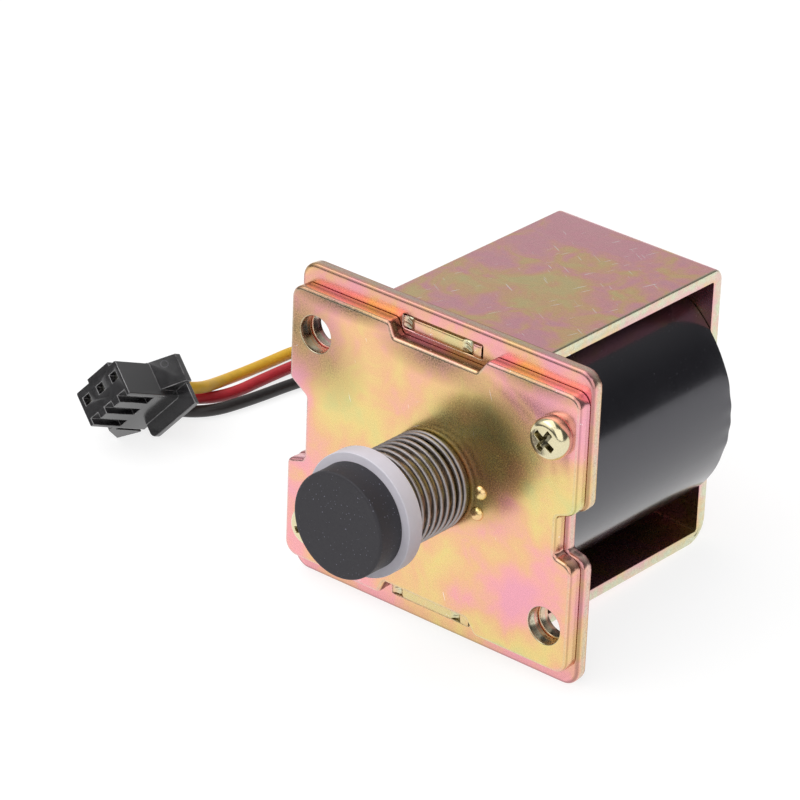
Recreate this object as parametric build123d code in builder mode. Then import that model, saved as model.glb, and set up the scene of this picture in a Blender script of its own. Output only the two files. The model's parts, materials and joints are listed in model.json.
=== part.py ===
"""Gas solenoid valve head: a plunger with a rubber disc, pulled into a coil by a C-shaped yoke.

The origin is on the plunger's axis at the front face of the front plate, which is the mounting face.
X is to the right seen from the front, Y runs back along the coil, and Z is up.
"""

import os
from math import pi, radians, tan

from build123d import *

os.makedirs("parts", exist_ok=True)

# Plunger and the parts it runs in, all round the Y axis
PLUNGER_DIAMETER = 9.2
RUNNING_GAP = 0.05
TRAVEL = 4.0
CLOSED_GAP = 0.3
PLUNGER_DEPTH = 20.5
PLUNGER_CHAMFER = 0.35
TUBE_WALL = 0.4
TUBE_FLANGE_DIAMETER = 15.0
TUBE_FLANGE_GAUGE = 0.5
TUBE_END_GAP = 0.9
PLATE_BORE_GAP = 0.2
SEAL_CORD_WIDTH = 1.0
SEAL_CORD_HEIGHT = 0.6
SEAL_INNER_GAP = 0.25
FLANGE_GAP = 0.1
CORE_SEAL_WIDTH = 1.05
CORE_SEAL_DEPTH = 0.9
CORE_SEAL_PLACE = 3.6
SPIGOT_DIAMETER = 5.0
SPIGOT_GAP = 0.05
RIVET_DIAMETER = 6.2
RIVET_HEIGHT = 0.4

# Coil: windings on a bobbin, one round the other, closed by tape
BOBBIN_GAP = 0.1
BOBBIN_WALL = 0.8
BOBBIN_LENGTH = 32.26
BOBBIN_FLANGE_GAUGE = 1.0
BOBBIN_FRONT_GAP = 0.12
BOBBIN_REAR_GAP = 0.1
PULL_IN_BUILD = 3.05
SEPARATOR_GAUGE = 0.15
HOLD_BUILD = 5.75
WINDING_SET_IN = 0.1
TAPE_BUILD = 0.4

# Plates: two stampings laid together
FRONT_GAUGE = 1.88
BACK_GAUGE = 1.5
HOLE_PITCH_X = 34.6
HOLE_PITCH_Z = 24.0
MOUNTING_HOLE_DIAMETER = 4.5
BACK_HOLE_DIAMETER = 4.1
PLATE_LEFT_MARGIN = 3.75
PLATE_RIGHT_MARGIN = 3.35
BACK_PLATE_LEFT_STEP = 0.1
BACK_PLATE_RIGHT_STEP = 0.3
FRONT_CORNER = 1.7
BACK_CORNER = 2.1
ROLLED_EDGE = 0.35
# Notches and cut-outs: where the upper and lower, or left and right, side starts and meets the floor
NOTCH_DEPTH = 2.55
LEFT_NOTCH_MOUTH = (5.4, -5.0)
LEFT_NOTCH_FLOOR = (3.7, -4.2)
LEFT_NOTCH_LIP = 0.9
RIGHT_NOTCH_MOUTH = (2.9, -3.5)
RIGHT_NOTCH_FLOOR = (1.9, -3.0)
RIGHT_NOTCH_LIP = 1.6
NOTCH_ROOT = 0.6
CUTOUT_MOUTH = (-6.75, 7.4)
CUTOUT_FLOOR = (-6.0, 6.1)
CUTOUT_LIP = 0.7
CUTOUT_ROOT = 0.5
CUTOUT_SHOW = 0.6
DIMPLE_PLACES = [(7.4, 1.0), (7.1, -1.75)]
DIMPLE_DIAMETER = 1.65
DIMPLE_HEIGHT = 0.6
DIMPLE_TAPER = 22
DIMPLE_BLEND = 0.2

# Yoke: one strip bent into a C, staked into the back plate
YOKE_WIDTH = 23.2
YOKE_GAUGE = 1.5
YOKE_COIL_GAP = 0.7
YOKE_TOP_BEND = 1.6
YOKE_BOTTOM_BEND = 3.1
YOKE_INNER_BEND = 0.3
YOKE_ROLLED_EDGE = 0.25
BACK_PLATE_BORDER = 1.9
FRONT_PLATE_SETBACK = 0.375
TAB_WIDTH = 11.2
TAB_OFFSET = -0.45
TAB_PROUD = 0.15
SLOT_GAP = 0.1
STAKE_DIAMETER = 1.3
STAKE_DEPTH = 0.3
STAKE_LEFT_SET_IN = 0.8
STAKE_RIGHT_SET_IN = 1.85

# Screws that hold the plates together
SCREW_PLACES = [(17.45, 11.8), (-16.4, -11.7)]
SCREW_DIAMETER = 2.5
SCREW_LENGTH = 5.2
SCREW_HEAD_DIAMETER = 5.0
SCREW_HEAD_HEIGHT = 2.1
SCREW_HEAD_ROUND = 1.1
SCREW_HOLE_GAP = 0.2
SCREW_THREAD_GAP = 0.04
SCREW_POINT = 0.3
RECESS_SPAN = 2.6
RECESS_SLOT = 0.6
RECESS_DEPTH = 1.2
RECESS_TAPER = 8

# Spring, disc holder and seal disc in front of the plates
SPRING_LENGTH = 9.75
SPRING_DIAMETER = 11.9
SPRING_WIRE = 0.5
SPRING_END_PITCH = 0.56
SPRING_BODY_TURNS = 7.5
HOLDER_DIAMETER = 14.8
HOLDER_THICKNESS = 2.25
HOLDER_ROUND = 0.35
DISC_DIAMETER = 12.7
DISC_THICKNESS = 3.55
DISC_ROUND = 0.25
NECK_DIAMETER = 5.0
NECK_GAP = 0.1
HEAD_DIAMETER = 7.0
HEAD_HEIGHT = 0.9
HEAD_SET_BACK = 1.1
HEAD_GAP = 0.1
SHOULDER_GAP = 0.05

# Leads and the flat sleeve that they leave the coil by
LEAD_DIAMETER = 1.5
LEAD_PITCH = 2.2
SLEEVE_WALL = 0.6
SLEEVE_REACH = 4.0
SLEEVE_PLACE_Y = 29.2
SLEEVE_PLACE_Z = -3.0
ARC_SHARE = 0.45

# Connector: it lies loose, so its place is one corner and two directions
CONNECTOR_CORNER = (-54.98, 7.18, -6.93)
CONNECTOR_ACROSS = (-0.621, -0.252, -0.742)
CONNECTOR_UP = (0.781, -0.272, -0.562)
PIN_PITCH = 2.5
PIN_COUNT = 3
PIN_SIDE = 1.2
HOUSING_LENGTH = 9.4
HOUSING_THICKNESS = 4.8
HOUSING_ROUND = 0.25
PIN_HEIGHT = 1.6
PIN_HOLE = 1.1
MATING_WALL = 1.0
CAVITY_WIDTH = 1.7
CAVITY_HEIGHT = 2.4
CAVITY_MIDDLE = 2.0
WIRE_HEIGHT = 2.4
GROOVE_LENGTH = 4.8
GROOVE_WIDTH = 1.3
GROOVE_DEPTH = 0.9
WINDOW_LENGTH = 0.6
WINDOW_WIDTH = 0.8
COLLAR_HEIGHT = 2.1
COLLAR_GAUGE = 0.7
COLLAR_OVERHANG = 1.9
COLLAR_SHORT = 1.2
COLLAR_ROUND = 0.9
RAMP_LENGTH = 3.5
RAMP_LAND = 0.9
RAMP_HEIGHT = 2.3
RAMP_WIDTH = 3.9
KEY_WIDTH = 3.9
KEY_PLACE = 3.1
KEY_LENGTH = 1.4
KEY_HEIGHT = 0.5

# Latch lever on the connector's far side; it turns about its root
LATCH_ROOT = 4.4
LATCH_LIFT = 0.45
LATCH_KNUCKLE = 1.0
LATCH_BROW = (0.4, 0.3)
LATCH_KNUCKLE_GAP = 0.05
LATCH_SADDLE = 0.35
LATCH_SADDLE_LENGTH = 1.4
LATCH_PEAK = 6.9
LATCH_PEAK_HEIGHT = 2.27
LATCH_TIP = 9.5
LATCH_TIP_HEIGHT = 0.78
LATCH_INSET = 0.2
LATCH_GRIPS = 4
LATCH_GRIP_SIZE = 0.24

# Terminals crimped on the leads, one in each cavity
TERMINAL_GAP = 0.1
TERMINAL_BOX_HEIGHT = 2.1
TERMINAL_BOX_LENGTH = 4.0
TERMINAL_SOCKET = 0.7
TERMINAL_NECK = 0.9
TERMINAL_CRIMP_DIAMETER = 1.5
TERMINAL_CRIMP_LENGTH = 1.8
TERMINAL_SET_IN = 0.2

# Radii that follow, counted outwards from the plunger
plunger_r = PLUNGER_DIAMETER / 2
tube_bore_r = plunger_r + RUNNING_GAP
tube_r = tube_bore_r + TUBE_WALL
bobbin_bore_r = tube_r + BOBBIN_GAP
barrel_r = bobbin_bore_r + BOBBIN_WALL
pull_in_r = barrel_r + PULL_IN_BUILD
separator_r = pull_in_r + SEPARATOR_GAUGE
hold_r = separator_r + HOLD_BUILD
bobbin_flange_r = hold_r + WINDING_SET_IN
tape_r = bobbin_flange_r + TAPE_BUILD
plate_bore_r = tube_bore_r + PLATE_BORE_GAP
counterbore_r = TUBE_FLANGE_DIAMETER / 2 + FLANGE_GAP
counterbore_depth = SEAL_CORD_HEIGHT + TUBE_FLANGE_GAUGE

# Places along Y that follow, counted backwards from the mounting face
plates_rear = FRONT_GAUGE + BACK_GAUGE
bobbin_front = plates_rear + BOBBIN_FRONT_GAP
bobbin_rear = bobbin_front + BOBBIN_LENGTH
yoke_inner_rear = bobbin_rear + BOBBIN_REAR_GAP
yoke_rear = yoke_inner_rear + YOKE_GAUGE
core_front = PLUNGER_DEPTH + TRAVEL + CLOSED_GAP
tube_rear = yoke_inner_rear - TUBE_END_GAP
holder_rear = -SPRING_LENGTH
holder_front = holder_rear - HOLDER_THICKNESS
disc_front = holder_front - DISC_THICKNESS

# Heights and widths that follow
yoke_inner_z = tape_r + YOKE_COIL_GAP
yoke_outer_z = yoke_inner_z + YOKE_GAUGE
tab_z = (yoke_inner_z + yoke_outer_z) / 2
front_left = -HOLE_PITCH_X / 2 - PLATE_LEFT_MARGIN
front_right = HOLE_PITCH_X / 2 + PLATE_RIGHT_MARGIN
front_top = yoke_outer_z - FRONT_PLATE_SETBACK
back_left = front_left - BACK_PLATE_LEFT_STEP
back_right = front_right + BACK_PLATE_RIGHT_STEP
back_top = yoke_outer_z + BACK_PLATE_BORDER
cutout_z = yoke_inner_z - CUTOUT_SHOW

mounting_holes = [(-HOLE_PITCH_X / 2, HOLE_PITCH_Z / 2), (HOLE_PITCH_X / 2, -HOLE_PITCH_Z / 2)]


def facing(y):
    """Plane across the coil at y, seen from the front: local x is X, local y is Z, normal forward."""
    return Plane.XZ.offset(-y)


def plate_blank(y_rear, left, right, top, corner, end_corners):
    """Outline of a plate, drawn round its corners: each is given as x, z and the radius that rounds it.
    Both sides have a notch, and both ends have the corners that are given for the top."""
    notch_right = right - NOTCH_DEPTH
    notch_left = left + NOTCH_DEPTH
    corners = [
        (right, -top, corner),
        (right, RIGHT_NOTCH_MOUTH[1], RIGHT_NOTCH_LIP),
        (notch_right, RIGHT_NOTCH_FLOOR[1], NOTCH_ROOT),
        (notch_right, RIGHT_NOTCH_FLOOR[0], NOTCH_ROOT),
        (right, RIGHT_NOTCH_MOUTH[0], RIGHT_NOTCH_LIP),
        (right, top, corner),
        *end_corners,
        (left, top, corner),
        (left, LEFT_NOTCH_MOUTH[0], LEFT_NOTCH_LIP),
        (notch_left, LEFT_NOTCH_FLOOR[0], NOTCH_ROOT),
        (notch_left, LEFT_NOTCH_FLOOR[1], NOTCH_ROOT),
        (left, LEFT_NOTCH_MOUTH[1], LEFT_NOTCH_LIP),
        (left, -top, corner),
        *[(x, -z, radius) for x, z, radius in reversed(end_corners)],
    ]
    with BuildSketch(facing(y_rear)) as blank:
        with BuildLine():
            FilletPolyline(*[(x, z) for x, z, _ in corners], radius=[r for _, _, r in corners], close=True)
        make_face()
    return blank.sketch


def ring(y_front, y_rear, inner_r, outer_r):
    """Half section of a ring round the Y axis, to be revolved."""
    with BuildSketch(Plane.XY) as section:
        with Locations((inner_r, y_front)):
            Rectangle(outer_r - inner_r, y_rear - y_front, align=(Align.MIN, Align.MIN))
    return section.sketch


# Front plate: the mounting face, with the plunger's bore and the seat of the tube's flange
cutout = [
    (CUTOUT_MOUTH[1], front_top, CUTOUT_LIP),
    (CUTOUT_FLOOR[1], cutout_z, CUTOUT_ROOT),
    (CUTOUT_FLOOR[0], cutout_z, CUTOUT_ROOT),
    (CUTOUT_MOUTH[0], front_top, CUTOUT_LIP),
]
front_blank = plate_blank(FRONT_GAUGE, front_left, front_right, front_top, FRONT_CORNER, cutout)
with BuildPart() as front_plate:
    extrude(front_blank, amount=FRONT_GAUGE)
    fillet(front_plate.faces().sort_by(Axis.Y)[0].edges(), ROLLED_EDGE)
    with BuildSketch(facing(FRONT_GAUGE)):
        Circle(plate_bore_r)
        with Locations(*mounting_holes):
            Circle(MOUNTING_HOLE_DIAMETER / 2)
        with Locations(*SCREW_PLACES):
            Circle(SCREW_DIAMETER / 2 + SCREW_HOLE_GAP)
    extrude(amount=FRONT_GAUGE, mode=Mode.SUBTRACT)
    with BuildSketch(facing(FRONT_GAUGE)):
        Circle(counterbore_r)
    extrude(amount=counterbore_depth, mode=Mode.SUBTRACT)
    with BuildSketch(facing(0)):
        with Locations(*DIMPLE_PLACES):
            Circle(DIMPLE_DIAMETER / 2)
    extrude(amount=DIMPLE_HEIGHT, taper=DIMPLE_TAPER)
    fillet(front_plate.faces().sort_by(Axis.Y)[:len(DIMPLE_PLACES)].edges(), DIMPLE_BLEND)

# Back plate: taller and a little wider, with a slot for each tab of the yoke
back_blank = plate_blank(plates_rear, back_left, back_right, back_top, BACK_CORNER, [])
with BuildPart() as back_plate:
    extrude(back_blank, amount=BACK_GAUGE)
    fillet(back_plate.faces().sort_by(Axis.Y)[0].edges(), ROLLED_EDGE)
    with BuildSketch(facing(plates_rear)):
        Circle(tube_r + FLANGE_GAP)
        with Locations(*mounting_holes):
            Circle(BACK_HOLE_DIAMETER / 2)
        with Locations(*SCREW_PLACES):
            Circle(SCREW_DIAMETER / 2 + SCREW_THREAD_GAP)
        with Locations((TAB_OFFSET, tab_z), (TAB_OFFSET, -tab_z)):
            Rectangle(TAB_WIDTH + 2 * SLOT_GAP, YOKE_GAUGE + 2 * SLOT_GAP)
    extrude(amount=BACK_GAUGE, mode=Mode.SUBTRACT)

# Yoke: the bent strip, its tabs through the back plate and its hole for the fixed core
with BuildPart() as yoke:
    with BuildSketch(Plane.YZ.offset(-YOKE_WIDTH / 2)) as strip:
        with Locations((plates_rear, 0)):
            Rectangle(yoke_rear - plates_rear, 2 * yoke_outer_z, align=(Align.MIN, Align.CENTER))
            Rectangle(
                yoke_inner_rear - plates_rear,
                2 * yoke_inner_z,
                align=(Align.MIN, Align.CENTER),
                mode=Mode.SUBTRACT,
            )
        fillet(strip.vertices().group_by(Axis.X)[1], YOKE_INNER_BEND)
        fillet(strip.vertices().group_by(Axis.X)[-1].sort_by(Axis.Y)[0], YOKE_BOTTOM_BEND)
        fillet(strip.vertices().group_by(Axis.X)[-1].sort_by(Axis.Y)[-1], YOKE_TOP_BEND)
    extrude(amount=YOKE_WIDTH)
    outside = yoke_outer_z - YOKE_GAUGE / 4
    behind = yoke_rear - YOKE_GAUGE
    for side_face in (yoke.faces().sort_by(Axis.X)[0], yoke.faces().sort_by(Axis.X)[-1]):
        rims = side_face.edges().filter_by(lambda e: abs(e.center().Z) > outside or e.center().Y > behind)
        fillet(rims, YOKE_ROLLED_EDGE)
    with BuildSketch(facing(plates_rear)):
        with Locations((TAB_OFFSET, tab_z), (TAB_OFFSET, -tab_z)):
            Rectangle(TAB_WIDTH, YOKE_GAUGE)
    extrude(amount=BACK_GAUGE + TAB_PROUD)
    stake_left = -TAB_WIDTH / 2 + STAKE_LEFT_SET_IN
    stake_right = TAB_WIDTH / 2 - STAKE_RIGHT_SET_IN
    with BuildSketch(facing(FRONT_GAUGE - TAB_PROUD)):
        with Locations((TAB_OFFSET, tab_z), (TAB_OFFSET, -tab_z)):
            with Locations((stake_left, 0), (stake_right, 0)):
                Circle(STAKE_DIAMETER / 2)
    extrude(amount=-STAKE_DEPTH, mode=Mode.SUBTRACT)
    with BuildSketch(facing(yoke_rear)):
        Circle(SPIGOT_DIAMETER / 2 + SPIGOT_GAP)
    extrude(amount=YOKE_GAUGE, mode=Mode.SUBTRACT)

# Bobbin and what is wound on it
with BuildPart() as bobbin:
    with BuildSketch(Plane.XY):
        with BuildLine():
            Polyline(
                (bobbin_bore_r, bobbin_front),
                (bobbin_flange_r, bobbin_front),
                (bobbin_flange_r, bobbin_front + BOBBIN_FLANGE_GAUGE),
                (barrel_r, bobbin_front + BOBBIN_FLANGE_GAUGE),
                (barrel_r, bobbin_rear - BOBBIN_FLANGE_GAUGE),
                (bobbin_flange_r, bobbin_rear - BOBBIN_FLANGE_GAUGE),
                (bobbin_flange_r, bobbin_rear),
                (bobbin_bore_r, bobbin_rear),
                close=True,
            )
        make_face()
    revolve(axis=Axis.Y)

winding_front = bobbin_front + BOBBIN_FLANGE_GAUGE
winding_rear = bobbin_rear - BOBBIN_FLANGE_GAUGE

with BuildPart() as pull_in_winding:
    revolve(ring(winding_front, winding_rear, barrel_r, pull_in_r), axis=Axis.Y)

with BuildPart() as winding_separator:
    revolve(ring(winding_front, winding_rear, pull_in_r, separator_r), axis=Axis.Y)

with BuildPart() as hold_winding:
    revolve(ring(winding_front, winding_rear, separator_r, hold_r), axis=Axis.Y)

with BuildPart() as tape_wrap:
    revolve(ring(bobbin_front, bobbin_rear, bobbin_flange_r, tape_r), axis=Axis.Y)

# Guide tube: flanged at the front, where the two plates grip it
tube_flange_front = FRONT_GAUGE - TUBE_FLANGE_GAUGE
with BuildPart() as guide_tube:
    with BuildSketch(Plane.XY):
        with BuildLine():
            Polyline(
                (tube_bore_r, tube_flange_front),
                (TUBE_FLANGE_DIAMETER / 2, tube_flange_front),
                (TUBE_FLANGE_DIAMETER / 2, FRONT_GAUGE),
                (tube_r, FRONT_GAUGE),
                (tube_r, tube_rear),
                (tube_bore_r, tube_rear),
                close=True,
            )
        make_face()
    revolve(axis=Axis.Y)

# Ring under the tube's flange, squeezed flat between the flange and the counterbore's floor
seal_inner_r = tube_r + SEAL_INNER_GAP
with BuildPart() as tube_seal:
    with BuildSketch(Plane.XY):
        with Locations((seal_inner_r + SEAL_CORD_WIDTH / 2, tube_flange_front - SEAL_CORD_HEIGHT / 2)):
            SlotOverall(SEAL_CORD_WIDTH, SEAL_CORD_HEIGHT)
    revolve(axis=Axis.Y)

# Fixed core: pole piece with a seal groove, riveted into the yoke's rear wall
seal_rear = yoke_inner_rear - CORE_SEAL_PLACE
seal_front = seal_rear - CORE_SEAL_WIDTH
groove_r = tube_bore_r - CORE_SEAL_DEPTH
with BuildPart() as fixed_core:
    with BuildSketch(Plane.XY):
        with BuildLine():
            Polyline(
                (0, core_front),
                (plunger_r - PLUNGER_CHAMFER, core_front),
                (plunger_r, core_front + PLUNGER_CHAMFER),
                (plunger_r, seal_front),
                (groove_r, seal_front),
                (groove_r, seal_rear),
                (plunger_r, seal_rear),
                (plunger_r, yoke_inner_rear),
                (SPIGOT_DIAMETER / 2, yoke_inner_rear),
                (SPIGOT_DIAMETER / 2, yoke_rear),
                (RIVET_DIAMETER / 2, yoke_rear),
                (SPIGOT_DIAMETER / 2, yoke_rear + RIVET_HEIGHT),
                (0, yoke_rear + RIVET_HEIGHT),
                close=True,
            )
        make_face()
    revolve(axis=Axis.Y)

with BuildPart() as core_seal:
    revolve(ring(seal_front, seal_rear, groove_r, tube_bore_r), axis=Axis.Y)

# Plunger: shaft in the tube, neck through the holder and a head held in the rubber disc
shoulder = holder_rear + SHOULDER_GAP
head_rear = holder_front - HEAD_SET_BACK
head_front = head_rear - HEAD_HEIGHT
with BuildPart() as plunger:
    with BuildSketch(Plane.XY):
        with BuildLine():
            Polyline(
                (0, head_front),
                (HEAD_DIAMETER / 2, head_front),
                (HEAD_DIAMETER / 2, head_rear),
                (NECK_DIAMETER / 2, head_rear),
                (NECK_DIAMETER / 2, shoulder),
                (plunger_r - PLUNGER_CHAMFER, shoulder),
                (plunger_r, shoulder + PLUNGER_CHAMFER),
                (plunger_r, PLUNGER_DEPTH - PLUNGER_CHAMFER),
                (plunger_r - PLUNGER_CHAMFER, PLUNGER_DEPTH),
                (0, PLUNGER_DEPTH),
                close=True,
            )
        make_face()
    revolve(axis=Axis.Y)

neck_hole_r = NECK_DIAMETER / 2 + NECK_GAP
with BuildPart() as disc_holder:
    revolve(ring(holder_front, holder_rear, neck_hole_r, HOLDER_DIAMETER / 2), axis=Axis.Y)
    rims = disc_holder.edges().filter_by(GeomType.CIRCLE).sort_by(SortBy.RADIUS)[-2:]
    fillet(rims, HOLDER_ROUND)

with BuildPart() as seal_disc:
    revolve(ring(disc_front, holder_front, 0, DISC_DIAMETER / 2), axis=Axis.Y)
    fillet(seal_disc.faces().sort_by(Axis.Y)[0].edges(), DISC_ROUND)
    with BuildSketch(facing(holder_front)):
        Circle(neck_hole_r)
    extrude(amount=HEAD_SET_BACK - HEAD_GAP, mode=Mode.SUBTRACT)
    with BuildSketch(facing(head_rear + HEAD_GAP)):
        Circle(HEAD_DIAMETER / 2 + HEAD_GAP)
    extrude(amount=HEAD_HEIGHT + 2 * HEAD_GAP, mode=Mode.SUBTRACT)

# Return spring: closed end turns and open turns between them
coil_mean_r = (SPRING_DIAMETER - SPRING_WIRE) / 2
body_height = SPRING_LENGTH - SPRING_WIRE - 2 * SPRING_END_PITCH
body_pitch = body_height / SPRING_BODY_TURNS
with BuildPart() as return_spring:
    with BuildLine() as coil_line:
        spring_start = holder_rear + SPRING_WIRE / 2
        front_turn = Helix(
            SPRING_END_PITCH, SPRING_END_PITCH, coil_mean_r, center=(0, spring_start, 0), direction=(0, 1, 0)
        )
        body_start = spring_start + SPRING_END_PITCH
        body_turns = Helix(
            body_pitch, body_height, coil_mean_r, center=(0, body_start, 0), direction=(0, 1, 0), mode=Mode.PRIVATE
        )
        half_turn = 360 * (SPRING_BODY_TURNS % 1)
        add(body_turns)
        rear_start = body_start + body_height
        rear_turn = Helix(
            SPRING_END_PITCH,
            SPRING_END_PITCH,
            coil_mean_r,
            center=(0, rear_start, 0),
            direction=(0, 1, 0),
            mode=Mode.PRIVATE,
        )
        add(rear_turn.rotate(Axis.Y, -half_turn))
    with BuildSketch(Plane(origin=coil_line.line @ 0, z_dir=coil_line.line % 0)):
        Circle(SPRING_WIRE / 2)
    sweep(path=coil_line.line, is_frenet=True)

# Screws: one pan head screw with a cross recess, set at both places
with BuildPart() as one_screw:
    revolve(ring(-SCREW_HEAD_HEIGHT, 0, 0, SCREW_HEAD_DIAMETER / 2), axis=Axis.Y)
    fillet(one_screw.faces().sort_by(Axis.Y)[0].edges(), SCREW_HEAD_ROUND)
    revolve(ring(0, SCREW_LENGTH, 0, SCREW_DIAMETER / 2), axis=Axis.Y)
    chamfer(one_screw.faces().sort_by(Axis.Y)[-1].edges(), SCREW_POINT)
    with BuildSketch(facing(-SCREW_HEAD_HEIGHT)):
        Rectangle(RECESS_SPAN, RECESS_SLOT)
        Rectangle(RECESS_SLOT, RECESS_SPAN)
    extrude(amount=-RECESS_DEPTH, taper=RECESS_TAPER, mode=Mode.SUBTRACT)

with BuildPart() as cover_screws:
    with Locations(*[(x, 0, z) for x, z in SCREW_PLACES]):
        add(one_screw.part)

# Lead exit: a flat sleeve that stands on the coil's left side
sleeve_end = -(tape_r + SLEEVE_REACH)
lead_row = [SLEEVE_PLACE_Y + LEAD_PITCH, SLEEVE_PLACE_Y, SLEEVE_PLACE_Y - LEAD_PITCH]
sleeve_height = LEAD_DIAMETER + 2 * SLEEVE_WALL
with BuildPart() as lead_exit_sleeve:
    with BuildSketch(Plane.YZ.offset(sleeve_end)):
        with Locations((SLEEVE_PLACE_Y, SLEEVE_PLACE_Z)):
            SlotOverall(2 * LEAD_PITCH + sleeve_height, sleeve_height)
    extrude(amount=2 * SLEEVE_REACH)
    with BuildSketch(facing(yoke_rear)):
        Circle(tape_r)
    extrude(amount=yoke_rear, mode=Mode.SUBTRACT)

# Connector planes: on the flat side that rests downwards, and on the mating face
connector = Plane(origin=CONNECTOR_CORNER, x_dir=CONNECTOR_ACROSS, z_dir=CONNECTOR_UP)
mating = Plane(origin=CONNECTOR_CORNER, x_dir=CONNECTOR_ACROSS, z_dir=-connector.y_dir)
pins = [PIN_SIDE + PIN_PITCH * index for index in range(PIN_COUNT)]
housing_width = pins[-1] + PIN_SIDE
low = (Align.MIN, Align.MIN)

with BuildPart() as connector_housing:
    with BuildSketch(connector):
        Rectangle(housing_width, HOUSING_LENGTH, align=low)
    extrude(amount=HOUSING_THICKNESS)
    fillet(connector_housing.edges().filter_by(Axis((0, 0, 0), connector.y_dir)), HOUSING_ROUND)
    # collar across the grooved side and round to the ramp, at the wire end
    with BuildSketch(mating.offset(COLLAR_GAUGE - HOUSING_LENGTH)):
        with BuildLine():
            Polyline(
                (-COLLAR_OVERHANG, RAMP_WIDTH - HOUSING_ROUND),
                (-COLLAR_OVERHANG, HOUSING_THICKNESS + COLLAR_HEIGHT),
                (housing_width - COLLAR_SHORT, HOUSING_THICKNESS + COLLAR_HEIGHT),
                (housing_width - COLLAR_SHORT, HOUSING_THICKNESS - HOUSING_ROUND),
                (HOUSING_ROUND, HOUSING_THICKNESS - HOUSING_ROUND),
                (HOUSING_ROUND, RAMP_WIDTH - HOUSING_ROUND),
                close=True,
            )
        make_face()
    extrude(amount=-COLLAR_GAUGE)
    collar_top = connector_housing.faces().sort_by(Axis((0, 0, 0), connector.z_dir))[-1]
    corner = collar_top.edges().filter_by(Axis((0, 0, 0), connector.y_dir))
    fillet(corner.sort_by(Axis((0, 0, 0), connector.x_dir))[-1], COLLAR_ROUND)
    # ramp on the near narrow side
    with BuildSketch(connector):
        with BuildLine():
            Polyline(
                (HOUSING_ROUND, HOUSING_LENGTH - RAMP_LENGTH - HOUSING_ROUND),
                (-RAMP_HEIGHT, HOUSING_LENGTH - RAMP_LAND),
                (-RAMP_HEIGHT, HOUSING_LENGTH),
                (HOUSING_ROUND, HOUSING_LENGTH),
                close=True,
            )
        make_face()
    extrude(amount=RAMP_WIDTH)
    # key on the side away from the grooves
    with BuildSketch(connector):
        with Locations((KEY_PLACE, KEY_LENGTH / 2)):
            Rectangle(KEY_WIDTH, KEY_LENGTH)
    extrude(amount=-KEY_HEIGHT)
    # saddle that carries the latch lever's root
    with BuildSketch(connector.offset(LATCH_INSET)):
        with Locations((housing_width - HOUSING_ROUND, LATCH_ROOT)):
            Rectangle(
                LATCH_SADDLE + HOUSING_ROUND, LATCH_SADDLE_LENGTH, align=(Align.MIN, Align.CENTER)
            )
    extrude(amount=HOUSING_THICKNESS - 2 * LATCH_INSET)
    with BuildSketch(connector):
        with Locations((housing_width + LATCH_LIFT, LATCH_ROOT)):
            Circle(LATCH_KNUCKLE / 2 + LATCH_KNUCKLE_GAP)
    extrude(amount=HOUSING_THICKNESS, mode=Mode.SUBTRACT)
    # cavities, open at the wire end, with a square hole each in the mating face
    with BuildSketch(mating):
        with Locations(*[(pin, PIN_HEIGHT) for pin in pins]):
            Rectangle(PIN_HOLE, PIN_HOLE)
    extrude(amount=-MATING_WALL, mode=Mode.SUBTRACT)
    with BuildSketch(mating.offset(-MATING_WALL)):
        with Locations(*[(pin, CAVITY_MIDDLE) for pin in pins]):
            Rectangle(CAVITY_WIDTH, CAVITY_HEIGHT)
    extrude(amount=MATING_WALL - HOUSING_LENGTH, mode=Mode.SUBTRACT)
    # grooves on the upper side, each with a window to its cavity
    with BuildSketch(connector.offset(HOUSING_THICKNESS)):
        with Locations(*[(pin, GROOVE_LENGTH / 2) for pin in pins]):
            Rectangle(GROOVE_WIDTH, GROOVE_LENGTH)
    extrude(amount=-GROOVE_DEPTH, mode=Mode.SUBTRACT)
    with BuildSketch(connector.offset(HOUSING_THICKNESS)):
        with Locations(*[(pin, GROOVE_LENGTH - WINDOW_LENGTH / 2) for pin in pins]):
            Rectangle(WINDOW_WIDTH, WINDOW_LENGTH)
    extrude(amount=CAVITY_MIDDLE - HOUSING_THICKNESS, mode=Mode.SUBTRACT)

# Latch lever: a knuckle, a steep front and a ribbed slope for the finger
knuckle_x = housing_width + LATCH_LIFT
peak = (housing_width + LATCH_PEAK_HEIGHT, LATCH_PEAK)
tip = (housing_width + LATCH_TIP_HEIGHT, LATCH_TIP)
with BuildPart() as connector_latch:
    with BuildSketch(connector.offset(LATCH_INSET)):
        with Locations((knuckle_x, LATCH_ROOT)):
            Circle(LATCH_KNUCKLE / 2)
        with BuildLine():
            Polyline(
                (knuckle_x, LATCH_ROOT),
                (knuckle_x + LATCH_KNUCKLE * LATCH_BROW[0], LATCH_ROOT - LATCH_KNUCKLE * LATCH_BROW[1]),
                peak,
                tip,
                (knuckle_x, LATCH_TIP),
                close=True,
            )
        make_face()
        with BuildLine() as slope:
            Line(peak, tip)
        grip_steps = [(step + 1) / (LATCH_GRIPS + 1) for step in range(LATCH_GRIPS)]
        with Locations(*[slope.line @ step for step in grip_steps]):
            Circle(LATCH_GRIP_SIZE / 2, mode=Mode.SUBTRACT)
    extrude(amount=HOUSING_THICKNESS - 2 * LATCH_INSET)

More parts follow.
